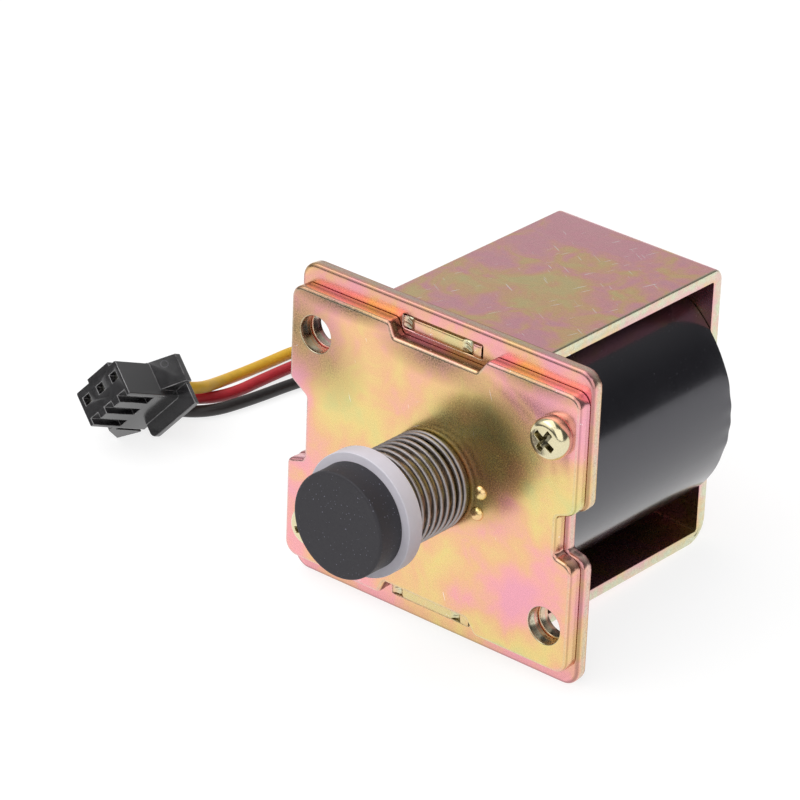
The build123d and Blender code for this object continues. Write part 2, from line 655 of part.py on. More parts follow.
# Terminals: a socket box, a neck and a crimp round the lead's end
terminal_front = MATING_WALL + TERMINAL_GAP
terminal_rear = HOUSING_LENGTH - TERMINAL_SET_IN
with BuildPart() as connector_terminals:
    with BuildSketch(mating.offset(-terminal_front)):
        with Locations(*[(pin, CAVITY_MIDDLE) for pin in pins]):
            Rectangle(CAVITY_WIDTH - 2 * TERMINAL_GAP, TERMINAL_BOX_HEIGHT)
        with Locations(*[(pin, PIN_HEIGHT) for pin in pins]):
            Rectangle(TERMINAL_SOCKET, TERMINAL_SOCKET, mode=Mode.SUBTRACT)
    extrude(amount=-TERMINAL_BOX_LENGTH)
    with BuildSketch(mating.offset(-terminal_front - TERMINAL_BOX_LENGTH)):
        with Locations(*[(pin, WIRE_HEIGHT) for pin in pins]):
            Rectangle(TERMINAL_NECK, TERMINAL_NECK)
    extrude(amount=terminal_front + TERMINAL_BOX_LENGTH - terminal_rear)
    with BuildSketch(mating.offset(-terminal_rear)):
        with Locations(*[(pin, WIRE_HEIGHT) for pin in pins]):
            Circle(TERMINAL_CRIMP_DIAMETER / 2)
    extrude(amount=TERMINAL_CRIMP_LENGTH)


def lead_points(pin, middle, row_y):
    """Whole route of a lead: from its terminal, over the chosen points, straight into the sleeve."""
    start = connector.from_local_coords((pin, terminal_rear, WIRE_HEIGHT))
    return [tuple(start), *middle, (sleeve_end, row_y, SLEEVE_PLACE_Z)]


def arc_radii(points):
    """Radius at each corner: a set share of its shorter run, over the tangent of half the turn."""
    steps = [Vector(*b) - Vector(*a) for a, b in zip(points, points[1:])]
    radii = []
    for before, after in zip(steps, steps[1:]):
        half_turn = radians(before.get_angle(after)) / 2
        radii.append(ARC_SHARE * min(before.length, after.length) / tan(half_turn))
    return radii


# Routes of the leads: along the ground beside the valve, round behind it and up to the sleeve
lead_routes = {
    "lead_yellow": [
        (-53.14, 17.18, -13.49),
        (-52.61, 19.94, -14.45),
        (-54.29, 25.04, -16.11),
        (-54.57, 32.59, -16.77),
        (-53.81, 41.36, -16.46),
        (-47.1, 47.88, -16.12),
        (-37.95, 44.54, -15.56),
        (-30.58, 36.97, -9.78),
        (-24.6, 31.4, -3.0),
    ],
    "lead_red": [
        (-54.38, 19.52, -16.41),
        (-52.81, 25.09, -17.49),
        (-52.08, 32.32, -16.95),
        (-51.02, 39.77, -16.55),
        (-44.66, 44.73, -16.31),
        (-36.53, 40.92, -15.34),
        (-30.18, 34.57, -9.78),
        (-24.6, 29.2, -3.0),
    ],
    "lead_black": [
        (-56.11, 17.67, -17.88),
        (-51.73, 20.58, -17.68),
        (-49.94, 26.4, -17.35),
        (-48.51, 33.37, -16.92),
        (-46.28, 40.05, -16.58),
        (-39.54, 40.53, -16.15),
        (-33.37, 34.97, -12.58),
        (-28.38, 28.98, -7.18),
        (-24.4, 27.0, -3.0),
    ],
}

leads = {}
for (name, middle), pin, row_y in zip(lead_routes.items(), pins, lead_row):
    points = lead_points(pin, middle, row_y)
    radii = arc_radii(points)
    with BuildPart() as lead:
        with BuildLine() as route:
            FilletPolyline(*points, radius=radii)
        path = route.wire()
        with BuildSketch(Plane(origin=path @ 0, z_dir=path % 0)):
            Circle(LEAD_DIAMETER / 2)
        sweep(path=path)
    leads[name] = lead
    tube_volume = pi * (LEAD_DIAMETER / 2) ** 2 * path.length
    print(name, "length", round(path.length, 1), "radii", [round(r, 1) for r in radii])
    print(name, "volume over section times length", round(lead.part.volume / tube_volume, 4))

pieces = {
    "front_plate": front_plate,
    "back_plate": back_plate,
    "yoke": yoke,
    "bobbin": bobbin,
    "pull_in_winding": pull_in_winding,
    "winding_separator": winding_separator,
    "hold_winding": hold_winding,
    "tape_wrap": tape_wrap,
    "guide_tube": guide_tube,
    "tube_seal": tube_seal,
    "fixed_core": fixed_core,
    "core_seal": core_seal,
    "plunger": plunger,
    "disc_holder": disc_holder,
    "seal_disc": seal_disc,
    "return_spring": return_spring,
    "cover_screws": cover_screws,
    "lead_exit_sleeve": lead_exit_sleeve,
    "connector_housing": connector_housing,
    "connector_latch": connector_latch,
    "connector_terminals": connector_terminals,
    **leads,
}

for name, piece in pieces.items():
    piece.part.label = name
    export_step(piece.part, f"parts/{name}.step")
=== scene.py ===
import json
import math

import bmesh
import bpy
import numpy as np
from mathutils import Matrix, Vector
from mathutils.geometry import delaunay_2d_cdt


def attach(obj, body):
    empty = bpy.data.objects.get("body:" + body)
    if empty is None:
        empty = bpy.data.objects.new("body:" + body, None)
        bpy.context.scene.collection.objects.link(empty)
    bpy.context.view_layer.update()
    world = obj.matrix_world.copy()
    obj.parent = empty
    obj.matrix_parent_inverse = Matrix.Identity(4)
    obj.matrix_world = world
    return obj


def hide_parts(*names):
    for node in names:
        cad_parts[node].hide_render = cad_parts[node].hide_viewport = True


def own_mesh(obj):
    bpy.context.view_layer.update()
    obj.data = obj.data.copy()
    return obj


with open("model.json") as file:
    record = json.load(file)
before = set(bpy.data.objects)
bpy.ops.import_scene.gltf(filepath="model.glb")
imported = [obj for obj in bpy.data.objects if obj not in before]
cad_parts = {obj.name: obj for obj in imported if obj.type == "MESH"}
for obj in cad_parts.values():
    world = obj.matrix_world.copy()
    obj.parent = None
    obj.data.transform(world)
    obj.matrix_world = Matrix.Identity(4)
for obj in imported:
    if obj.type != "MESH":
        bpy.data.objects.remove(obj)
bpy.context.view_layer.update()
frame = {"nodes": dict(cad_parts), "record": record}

MM = 0.001
TURN = 2 * math.pi
body_of = {node: body for body, nodes in frame["record"]["behaviour"]["bodies"].items() for node in nodes}

# Camera, found from the corners of the two plates: place, right and up directions, and lens
CAMERA_PLACE = (300.358, -370.534, 250.931)
CAMERA_RIGHT = (0.75981, 0.64913, 0.03631)
CAMERA_UP = (-0.31795, 0.32228, 0.89165)
CAMERA_LENS = 217.08
# The valve rests on the back plate's lower edge and on the yoke, so the ground rises to the rear
GROUND_HEIGHT = -19.5
GROUND_AT = 3.378
GROUND_SLOPE = 3.3415

# Sizes of the plates
FRONT_GAUGE = 1.88
BACK_GAUGE = 1.5
FRONT_LEFT, FRONT_RIGHT, FRONT_TOP = -21.05, 20.65, 17.225
BACK_LEFT, BACK_RIGHT, BACK_TOP = -21.15, 20.95, 19.5
FRONT_CORNER = 1.7
BACK_CORNER = 2.1
NOTCH_DEPTH = 2.55
NOTCH_ROOT = 0.6
RIGHT_NOTCH = [(-3.5, 1.6), (-3.0, NOTCH_ROOT), (1.9, NOTCH_ROOT), (2.9, 1.6)]
LEFT_NOTCH = [(5.4, 0.9), (3.7, NOTCH_ROOT), (-4.2, NOTCH_ROOT), (-5.0, 0.9)]
CUTOUT = [(7.4, FRONT_TOP, 0.7), (6.1, 15.5, 0.5), (-6.0, 15.5, 0.5), (-6.75, FRONT_TOP, 0.7)]
MOUNTING_PLACES = [(-17.3, 12.0), (17.3, -12.0)]
SCREW_PLACES = [(17.45, 11.8), (-16.4, -11.7)]
FRONT_HOLE = 2.25
BACK_HOLE = 2.05
SCREW_HOLE = 1.45
PLUNGER_HOLE = 4.85
BACK_BORE = 5.15
# Rolled front edges, the share of a wall at which it tore, and how far the rear edges broke back
EDGE_ROLL = 0.5
HOLE_ROLL = 0.14
TORN_AT = 0.62
FRONT_BREAK = 0.2
BACK_BREAK = 0.09
# Walls this near the middle and this low are darkened with painted shade: the cut-outs, the middle bore and
# # the inner sides of the slots
PAINTED_SHADE_HALF, PAINTED_SHADE_HEIGHT = 7.6, FRONT_TOP - 0.1
TAB_LEFT, TAB_RIGHT = -6.05, 5.15
TAB_INNER = 16.1
TAB_OUTER = 17.6
SLOT_SIDE_PLAY = (0.1, 0.16)
SLOT_END_PLAY = (0.04, 0.22)
SLOT_CORNER = 0.25
STAKES = (-5.25, 3.3)
DIMPLES = [(7.4, 1.0), (7.1, -1.75)]
DIMPLE_SEAT = 0.05

PLATES_REAR = FRONT_GAUGE + BACK_GAUGE


def rounded_outline(corners, arc_steps=10):
    """Closed outline from corners (x, z, radius): each corner gives way to an arc that touches both
    of its sides, at radius times the tangent of half the turn from the corner."""
    points = []
    count = len(corners)
    for index, (x, z, radius) in enumerate(corners):
        here = np.array((x, z))
        before = np.array(corners[index - 1][:2]) - here
        after = np.array(corners[(index + 1) % count][:2]) - here
        before /= np.linalg.norm(before)
        after /= np.linalg.norm(after)
        half_turn = (math.pi - math.acos(np.clip(before @ after, -1, 1))) / 2
        start = here + before * radius * math.tan(half_turn)
        middle = before + after
        centre = here + middle / np.linalg.norm(middle) * radius / math.cos(half_turn)
        spoke = start - centre
        side = np.sign(before[0] * after[1] - before[1] * after[0])
        angles = -side * np.linspace(0, 2 * half_turn, arc_steps)
        turned = np.stack(
            [
                spoke[0] * np.cos(angles) - spoke[1] * np.sin(angles),
                spoke[0] * np.sin(angles) + spoke[1] * np.cos(angles),
            ],
            axis=1,
        )
        points.append(centre + turned)
    return np.concatenate(points)


def circle_outline(x, z, radius, steps=64):
    """Round hole: radius times the cosine and the sine of even angles, listed clockwise so that the metal
    is on its left."""
    angles = -np.linspace(0, TURN, steps, endpoint=False)
    return np.stack([x + radius * np.cos(angles), z + radius * np.sin(angles)], axis=1)


def inward(outline):
    """At each point, the way into the metal: the left normals of both sides, averaged so that the offset
    from each side stays the same."""
    sides = np.roll(outline, -1, axis=0) - outline
    sides /= np.linalg.norm(sides, axis=1, keepdims=True)
    normals = np.stack([-sides[:, 1], sides[:, 0]], axis=1)
    both = normals + np.roll(normals, 1, axis=0)
    return both / (both * normals).sum(axis=1, keepdims=True)


def grid_patch(points, close_u=False, close_v=False, wear_and_painted_light=0.0):
    """Points on a grid with quads between neighbours, closed along either way if asked."""
    rows, columns = points.shape[:2]
    index = np.arange(rows * columns).reshape(rows, columns)
    if close_u:
        index = np.vstack([index, index[:1]])
    if close_v:
        index = np.hstack([index, index[:, :1]])
    corners = [index[:-1, :-1], index[1:, :-1], index[1:, 1:], index[:-1, 1:]]
    quads = np.stack(corners, axis=-1).reshape(-1, 4)
    wear_and_painted_light_values = np.array(np.broadcast_to(wear_and_painted_light, points.shape[:2])).reshape(-1)
    return points.reshape(-1, 3), quads, wear_and_painted_light_values


def inside(points, rings):
    """True where a ray from the point along x crosses the rings' sides an odd number of times."""
    crossings = np.zeros(len(points), dtype=int)
    for ring in rings:
        ends = np.roll(ring, -1, axis=0)
        low = (ring[None, :, 1] <= points[:, None, 1]) & (ends[None, :, 1] > points[:, None, 1])
        high = (ring[None, :, 1] > points[:, None, 1]) & (ends[None, :, 1] <= points[:, None, 1])
        rise = np.where(ends[:, 1] == ring[:, 1], 1.0, ends[:, 1] - ring[:, 1])
        share = (points[:, None, 1] - ring[None, :, 1]) / rise
        cross_x = ring[None, :, 0] + share * (ends[:, 0] - ring[:, 0])
        crossings += ((low | high) & (cross_x > points[:, None, 0])).sum(axis=1)
    return crossings % 2 == 1


def flat_patch(rings, y):
    """Flat face at y between an outline and its holes: triangles whose middle is inside."""
    points = np.concatenate(rings)
    edges = []
    start = 0
    for ring in rings:
        index = np.arange(len(ring))
        edges += np.stack([start + index, start + (index + 1) % len(ring)], axis=1).tolist()
        start += len(ring)
    made = delaunay_2d_cdt([Vector(p) for p in points], edges, [], 0, 1e-9)
    verts = np.array([tuple(v) for v in made[0]])
    faces = np.array(made[2])
    middles = verts[faces].mean(axis=1)
    faces = faces[inside(middles, rings)]
    placed = np.stack([verts[:, 0], np.full(len(verts), y), verts[:, 1]], axis=1)
    return placed, faces, np.zeros(len(verts))


def cap_patch(ring, wear_and_painted_light=0.0):
    """Fan from the ring's middle to its sides."""
    count = len(ring)
    index = np.arange(count)
    fan = np.stack([index, (index + 1) % count, np.full(count, count)], axis=1)
    return np.vstack([ring, ring.mean(axis=0)]), fan, np.full(count + 1, wear_and_painted_light)


def revolved(profile, steps=128):
    """Surface round the Y axis: each (radius, y) of the profile carried round a circle."""
    angles = np.linspace(0, TURN, steps, endpoint=False)
    radius, y = np.array(profile, dtype=float).T
    x = radius[:, None] * np.cos(angles)
    z = radius[:, None] * np.sin(angles)
    points = np.stack([x, np.broadcast_to(y[:, None], x.shape), z], axis=-1)
    return grid_patch(points, close_v=True)


def quarter(radius_u, radius_v, steps=6):
    """Quarter of an ellipse from (radius_u, 0) to (0, radius_v), measured from the corner it rounds."""
    angles = np.linspace(0, math.pi / 2, steps)
    return radius_u * (1 - np.sin(angles)), radius_v * (1 - np.cos(angles))


def make_piece(name, patches, material, *nodes, sharp=32, merge=1e-5):
    """One mesh from patches in millimetres: doubles merged, faces turned outwards, placed in metres."""
    points, faces, wear_and_painted_light_parts, start = [], [], [], 0
    for patch_points, patch_faces, wear_and_painted_light in patches:
        points.append(patch_points)
        faces += (patch_faces + start).tolist()
        wear_and_painted_light_parts.append(wear_and_painted_light)
        start += len(patch_points)
    mesh = bpy.data.meshes.new(name)
    mesh.from_pydata((np.concatenate(points) * MM).tolist(), [], faces)
    wear_and_painted_light_layer = mesh.attributes.new("wear_and_painted_light", "FLOAT", "POINT")
    wear_and_painted_light_layer.data.foreach_set("value", np.concatenate(wear_and_painted_light_parts).astype(np.float32))
    shell = bmesh.new()
    shell.from_mesh(mesh)
    bmesh.ops.remove_doubles(shell, verts=shell.verts, dist=merge * MM)
    bmesh.ops.recalc_face_normals(shell, faces=shell.faces)
    shell.to_mesh(mesh)
    shell.free()
    mesh.polygons.foreach_set("use_smooth", np.ones(len(mesh.polygons), dtype=bool))
    mesh.set_sharp_from_angle(angle=math.radians(sharp))
    mesh.materials.append(material)
    thing = bpy.data.objects.new(name, mesh)
    bpy.context.scene.collection.objects.link(thing)
    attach(thing, body_of[nodes[0]])
    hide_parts(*nodes)
    return thing


# Materials
def node_material(name):
    """A new material: its node tree, its Principled shader and the object coordinates for its patterns."""
    material = bpy.data.materials.new(name)
    material.use_nodes = True
    tree = material.node_tree
    shader = tree.nodes["Principled BSDF"]
    place = tree.nodes.new("ShaderNodeTexCoord").outputs["Object"]
    return material, tree, shader, place


def mapped(tree, place, turn=(0, 0, 0), scale=(1, 1, 1), shift=(0, 0, 0)):
    """Coordinates moved, turned and stretched for one pattern."""
    mapping = tree.nodes.new("ShaderNodeMapping")
    mapping.inputs["Rotation"].default_value = turn
    mapping.inputs["Scale"].default_value = scale
    mapping.inputs["Location"].default_value = shift
    tree.links.new(place, mapping.inputs["Vector"])
    return mapping.outputs["Vector"]


def noise(tree, place, scale, detail=2.0, roughness=0.5, distortion=0.0):
    """Cloud pattern; scale is in patches a metre."""
    clouds = tree.nodes.new("ShaderNodeTexNoise")
    clouds.inputs["Scale"].default_value = scale
    clouds.inputs["Detail"].default_value = detail
    clouds.inputs["Roughness"].default_value = roughness
    clouds.inputs["Distortion"].default_value = distortion
    tree.links.new(place, clouds.inputs["Vector"])
    return clouds.outputs["Fac"]


def ramp(tree, value, stops):
    """Colours along a value; a stop is (place, colour)."""
    band = tree.nodes.new("ShaderNodeValToRGB")
    elements = band.color_ramp.elements
    while len(elements) < len(stops):
        elements.new(0.5)
    for element, (place, colour) in zip(elements, stops):
        element.position = place
        element.color = (*colour, 1.0)
    tree.links.new(value, band.inputs["Fac"])
    return band.outputs["Color"]


def span(tree, value, low, high, new_low=0.0, new_high=1.0):
    """The value between low and high spread over new_low to new_high, and held there."""
    node = tree.nodes.new("ShaderNodeMapRange")
    for label, number in (("From Min", low), ("From Max", high), ("To Min", new_low), ("To Max", new_high)):
        node.inputs[label].default_value = number
    tree.links.new(value, node.inputs["Value"])
    return node.outputs["Result"]


def blend(tree, share, first, second, kind="MIX"):
    """Two colours mixed by a share."""
    mix = tree.nodes.new("ShaderNodeMix")
    mix.data_type = "RGBA"
    mix.blend_type = kind
    for label, value in (("Factor", share), ("A", first), ("B", second)):
        sockets = [s for s in mix.inputs if s.name == label and s.enabled]
        if isinstance(value, (int, float)):
            sockets[0].default_value = value
        elif isinstance(value, tuple):
            sockets[0].default_value = (*value, 1.0)
        else:
            tree.links.new(value, sockets[0])
    return [s for s in mix.outputs if s.name == "Result" and s.enabled][0]


def sums(tree, kind, first, second):
    """One step of arithmetic on two values."""
    node = tree.nodes.new("ShaderNodeMath")
    node.operation = kind
    for socket, value in zip(node.inputs, (first, second)):
        if isinstance(value, (int, float)):
            socket.default_value = value
        else:
            tree.links.new(value, socket)
    return node.outputs["Value"]


def toward(tree, place, direction):
    """How far one direction leans towards another one, from minus one to one."""
    node = tree.nodes.new("ShaderNodeVectorMath")
    node.operation = "DOT_PRODUCT"
    node.inputs[1].default_value = Vector(direction).normalized()
    tree.links.new(place, node.inputs[0])
    return node.outputs["Value"]


def bump(tree, shader, height, distance, strength=1.0):
    """Small relief on the shader's normal; distance is the height of a full step, in metres."""
    relief = tree.nodes.new("ShaderNodeBump")
    relief.inputs["Distance"].default_value = distance
    relief.inputs["Strength"].default_value = strength
    tree.links.new(height, relief.inputs["Height"])
    before = shader.inputs["Normal"]
    if before.is_linked:
        tree.links.new(before.links[0].from_socket, relief.inputs["Normal"])
    tree.links.new(relief.outputs["Normal"], before)


def attribute(tree, name):
    """A value stored on the piece's points."""
    node = tree.nodes.new("ShaderNodeAttribute")
    node.attribute_name = name
    return node.outputs["Fac"]


ROSE = (0.84, 0.38, 0.46)
PINK = (0.88, 0.41, 0.40)
PEACH = (0.84, 0.50, 0.27)
STRAW = (0.81, 0.62, 0.25)
LEAF = (0.66, 0.64, 0.27)
STEEL = (0.62, 0.62, 0.46)
SHADES = [(0.08, ROSE), (0.26, PINK), (0.44, PEACH), (0.62, STRAW), (0.80, LEAF), (0.96, STRAW)]
SAND = (0.78, 0.58, 0.27)
OLIVE = (0.73, 0.60, 0.28)
YOKE_SHADES = [(0.08, ROSE), (0.26, PINK), (0.44, PEACH), (0.62, SAND), (0.80, OLIVE), (0.96, SAND)]
# Painted shade: the dark colour laid on walls in shade, the gap between the plates, the yoke's inner face
# and the screws' recesses
PAINTED_SHADE = (0.034, 0.026, 0.014)
DARK_PATCH = (0.14, 0.10, 0.06)
SCRATCH = (0.95, 0.94, 0.92)
GRAIN_GREY, WHITE = (0.45, 0.45, 0.45), (1, 1, 1)
FRONT_WAY = (0, -1, 0)


def field(tree, place, x, y, z, reach, flat=1.0):
    """A soft patch: one in its middle, falling evenly to nothing at its reach, all in millimetres.
    Where it is flat, its height is that many times less than its width."""
    scale = 1 / (reach * MM)
    spot = tree.nodes.new("ShaderNodeTexGradient")
    spot.gradient_type = "SPHERICAL"
    shift = (-x / reach, -y / reach, -z / reach * flat)
    moved = mapped(tree, place, scale=(scale, scale, scale * flat), shift=shift)
    tree.links.new(moved, spot.inputs["Vector"])
    return spot.outputs["Fac"]


def chromate(
    name, fields, shades, roughness, worn=STEEL, clouds=75, flecks=(330, 0.3), pitted=0.4, dark_patches=(),
):
    """Yellow passivated zinc: drifting patches of interference colour, finer flecks, pale bare metal where
    the stored value on the points is above nothing, partly worn metal and partly painted highlight, and
    dark painted shade where it is below. A field is (x, y, z, reach, weight) and shifts the colour there; a
    dark patch is (x, y, z, reach, weight, flat) and darkens only what faces the front."""
    material, tree, shader, place = node_material(name)
    drift = noise(tree, mapped(tree, place, shift=(0.02, 0.2, 0.04)), clouds, 2, 0.5, 0.9)
    drift = span(tree, drift, 0.25, 0.75, 0.02, 0.62)
    fleck_scale, fleck_share = flecks
    fine = noise(tree, place, fleck_scale, 3, 0.6, 0.6)
    drift = sums(tree, "ADD", drift, span(tree, fine, 0.3, 0.7, -fleck_share / 2, fleck_share / 2))
    for x, y, z, reach, weight in fields:
        weighted = sums(tree, "MULTIPLY", field(tree, place, x, y, z, reach), weight)
        drift = sums(tree, "ADD", drift, weighted)
    colour = ramp(tree, drift, shades)
    grain = noise(tree, place, 5200, 2, 0.6)
    grainy = ramp(tree, grain, [(0.3, GRAIN_GREY), (0.7, WHITE)])
    colour = blend(tree, 0.22, colour, grainy, "MULTIPLY")
    normal = tree.nodes.new("ShaderNodeNewGeometry").outputs["Normal"]
    to_front = span(tree, toward(tree, normal, FRONT_WAY), 0.3, 0.9)
    for x, y, z, reach, weight, flat in dark_patches:
        spot = sums(tree, "MULTIPLY", field(tree, place, x, y, z, reach, flat), to_front)
        ragged = sums(tree, "MULTIPLY", spot, span(tree, grain, 0.3, 0.7, 0.5, 1.3))
        colour = blend(tree, sums(tree, "MULTIPLY", ragged, weight), colour, DARK_PATCH)
    wear_and_painted_light = attribute(tree, "wear_and_painted_light")
    # Pale bare metal where the stored value is above nothing: partly worn metal, partly painted highlight
    uneven = span(tree, noise(tree, place, 900, 2), 0.35, 0.6, 0.55, 1.0)
    patchy = sums(tree, "MULTIPLY", span(tree, wear_and_painted_light, 0, 1), uneven)
    dark = tuple(c * (1 - pitted) for c in worn)
    pits = ramp(tree, noise(tree, place, 4000, 2, 0.7), [(0.38, dark), (0.58, worn)])
    colour = blend(tree, patchy, colour, pits)
    # Painted shade where the stored value is below nothing
    colour = blend(tree, span(tree, wear_and_painted_light, -1, 0, 1, 0), colour, PAINTED_SHADE)
    tree.links.new(colour, shader.inputs["Base Color"])
    shader.inputs["Metallic"].default_value = 1.0
    gloss = span(tree, grain, 0.3, 0.7, roughness - 0.04, roughness + 0.06)
    tree.links.new(gloss, shader.inputs["Roughness"])
    bump(tree, shader, noise(tree, place, 9000, 1), 0.000003, 0.3)
    bump(tree, shader, noise(tree, place, 160, 2), 0.00003, 0.2)
    return material


def painted_before(material):
    """The node tree, object coordinates, present colour and colour socket of a finish that is there."""
    tree = material.node_tree
    place = [n for n in tree.nodes if n.type == "TEX_COORD"][0].outputs["Object"]
    paint = tree.nodes["Principled BSDF"].inputs["Base Color"]
    return tree, place, paint.links[0].from_socket, paint


def scratched(material, turns, low):
    """Hairline scratches: noise stretched along a direction, with only its crests kept."""
    tree, place, colour, paint = painted_before(material)
    for turn in turns:
        lined = mapped(tree, mapped(tree, place, turn=turn), scale=(1, 22, 22), shift=turn)
        crest = span(tree, noise(tree, lined, 260, 1, 0.5, 0.15), low, low + 0.012)
        colour = blend(tree, crest, colour, SCRATCH)
    tree.links.new(colour, paint)


# Fields shift the colour along its shades, and dark patches darken it: (x, y, z, reach, weight), then how
# flat
front_fields = [
    (-12, 0, 7, 13, 0.36), (3, 0, -10, 10, 0.24), (11, 0, -17, 8, 0.62), (9, 0, 5, 12, 0.44),
    (18, 0, 3, 7, 0.3), (19, 0, 13, 7, -0.3), (12.5, 0, -11.5, 6, -0.42), (13.5, 0, -4.5, 6, 0.4),
    (-20, 0, 0, 6, -0.4), (-20, 0, 6, 5, -0.4), (-14, 1, 18, 9, -0.02), (14, 1, 18, 7, 0.24),
    (6, 0, -13, 5, -0.4), (7.2, 0, -0.4, 3.5, 0.5),
]
back_fields = [(-14, 3, 19, 10, -0.02), (14, 3, 18, 8, 0.1)]
yoke_fields = [
    (2, 20, 17.6, 12, 0.45), (-4, 14, 17.6, 8, 0.25), (-6, 34, 17.6, 10, -0.4), (8, 8, 17.6, 7, -0.3),
    (0, 1.5, 17, 6, 0.5), (0, 1.5, -17, 6, 0.4), (13, 9, 17.6, 6, 0.6), (0, 20, 17.6, 40, -0.14),
]
front_dark_patches = [
    (-20.5, 0, 12, 8, 0.8, 1), (-13.5, 0, 18, 10, 1.6, 3.5), (-15, 0, 9, 6, 0.5, 1), (0, 0, 15, 9, 0.9, 3),
    (14, 0, 17.6, 9, 1.0, 4), (8, 0, 11, 5, 0.3, 1),
]
front_zinc = chromate(
    "chromate_front_plate", front_fields, SHADES, 0.24, flecks=(330, 0.16), dark_patches=front_dark_patches
)
back_zinc = chromate("chromate_back_plate", back_fields, SHADES, 0.26, flecks=(330, 0.2))
yoke_zinc = chromate(
    "chromate_yoke", yoke_fields, YOKE_SHADES, 0.28, (0.66, 0.68, 0.50), flecks=(230, 0.66), pitted=0.12
)
scratched(yoke_zinc, [(0, 0, 0.5), (0, 0, 1.9)], 0.755)
scratched(front_zinc, [(0, 0.5, 0), (0, 1.9, 0)], 0.775)
screw_shades = [(0.2, (0.735, 0.65, 0.41)), (0.7, (0.695, 0.65, 0.45))]
shaft_shades = [(0.2, (0.22, 0.19, 0.16)), (0.7, (0.24, 0.24, 0.19))]
screw_zinc = chromate("chromate_screw", [], screw_shades, 0.16)
shaft_zinc = chromate("chromate_plunger", [], shaft_shades, 0.2, clouds=150)


def plain_finish(name, colour, roughness, metallic=0.0, grain=3000, depth=0.000003, spread=0.15, coat=0.0):
    """One finish with fine grain in its colour, gloss and relief."""
    material, tree, shader, place = node_material(name)
    grains = noise(tree, place, grain, 3, 0.6)
    darker = tuple(c * (1 - spread) for c in colour)
    lighter = tuple(min(1.0, c * (1 + spread)) for c in colour)
    tree.links.new(ramp(tree, grains, [(0.3, darker), (0.7, lighter)]), shader.inputs["Base Color"])
    gloss = span(tree, grains, 0.3, 0.7, roughness * 0.85, roughness * 1.15)
    tree.links.new(gloss, shader.inputs["Roughness"])
    shader.inputs["Metallic"].default_value = metallic
    if coat:
        shader.inputs["Coat Weight"].default_value = coat
        shader.inputs["Coat Roughness"].default_value = 0.1
    bump(tree, shader, noise(tree, place, grain * 1.6, 2), depth, 0.4)
    return material


def specks(material, low, tone):
    """Sparse light specks of dust over a finish that is there already."""
    tree, place, colour, paint = painted_before(material)
    dots = noise(tree, mapped(tree, place, shift=(5, 5, 5)), 5200, 0)
    tree.links.new(blend(tree, span(tree, dots, low, low + 0.03), colour, tone), paint)


def pale_edges(material, tone):
    """Edges paler in uneven lengths where they are marked: partly worn, partly a painted highlight."""
    tree, place, colour, paint = painted_before(material)
    uneven = span(tree, noise(tree, place, 700, 2), 0.38, 0.6, 0.15, 1.0)
    share = sums(tree, "MULTIPLY", attribute(tree, "wear_and_painted_light"), uneven)
    tree.links.new(blend(tree, share, colour, tone), paint)


def round_mark(material, x, y, z, reach, tone):
    """A round mark of the mould, in millimetres: a paler ring between two distances from its middle."""
    tree, place, colour, paint = painted_before(material)
    spot = field(tree, place, x, y, z, reach)
    ring = sums(tree, "MULTIPLY", span(tree, spot, 0.05, 0.15), span(tree, spot, 0.3, 0.45, 1, 0))
    tree.links.new(blend(tree, ring, colour, tone), paint)


def adjusted(material, settings):
    """Constants set on a finish's shader, by the names of its sockets."""
    for label, value in settings.items():
        material.node_tree.nodes["Principled BSDF"].inputs[label].default_value = value


tape_black = plain_finish(
    "tape_black", (0.007, 0.007, 0.010), 0.20, grain=400, depth=0.00001, spread=0.1, coat=0.35
)
adjusted(tape_black, {"Specular IOR Level": 0.7, "Specular Tint": (0.90, 0.88, 1.0, 1.0)})
specks(tape_black, 0.83, (0.09, 0.09, 0.10))
disc_black = plain_finish("disc_rubber_black", (0.028, 0.026, 0.032), 0.62, grain=5000, spread=0.12)
specks(disc_black, 0.79, (0.20, 0.20, 0.26))
holder_white = plain_finish("holder_white", (0.72, 0.69, 0.76), 0.45, grain=700, spread=0.03)
spring_grey = plain_finish("spring_grey", (0.33, 0.305, 0.305), 0.46, metallic=1.0, grain=2500)
core_bright = plain_finish("core_bright", (0.62, 0.61, 0.58), 0.28, metallic=1.0)
tube_gold = plain_finish("tube_gold", (0.75, 0.55, 0.22), 0.25, metallic=1.0)
ring_black = plain_finish("ring_black", (0.03, 0.03, 0.03), 0.5)
bobbin_black = plain_finish("bobbin_black", (0.04, 0.04, 0.042), 0.45)
wire_copper = plain_finish("wire_copper", (0.60, 0.20, 0.08), 0.3, metallic=1.0)
film_yellow = plain_finish("film_yellow", (0.75, 0.50, 0.08), 0.25)
sleeve_black = plain_finish("sleeve_black", (0.02, 0.02, 0.02), 0.6, grain=1500, depth=0.00002)
vinyl_yellow = plain_finish("vinyl_yellow", (0.86, 0.50, 0.030), 0.42, grain=900, spread=0.08)
vinyl_red = plain_finish("vinyl_red", (0.54, 0.024, 0.036), 0.45, grain=900, spread=0.1)
vinyl_black = plain_finish("vinyl_black", (0.022, 0.018, 0.018), 0.40, grain=900, spread=0.1)
plug_dark = plain_finish("plug_dark", (0.013, 0.012, 0.014), 0.21, grain=1400, depth=0.000001, spread=0.15)
adjusted(plug_dark, {"Specular IOR Level": 1.0, "IOR": 1.65})
# Paler bevelled edges on the connector: partly worn plastic, partly painted highlight
pale_edges(plug_dark, (0.19, 0.185, 0.19))
round_mark(plug_dark, -53.15, 13.95, -9.2, 0.6, (0.05, 0.048, 0.055))
terminal_tin = plain_finish("terminal_tin", (0.62, 0.60, 0.55), 0.3, metallic=1.0)


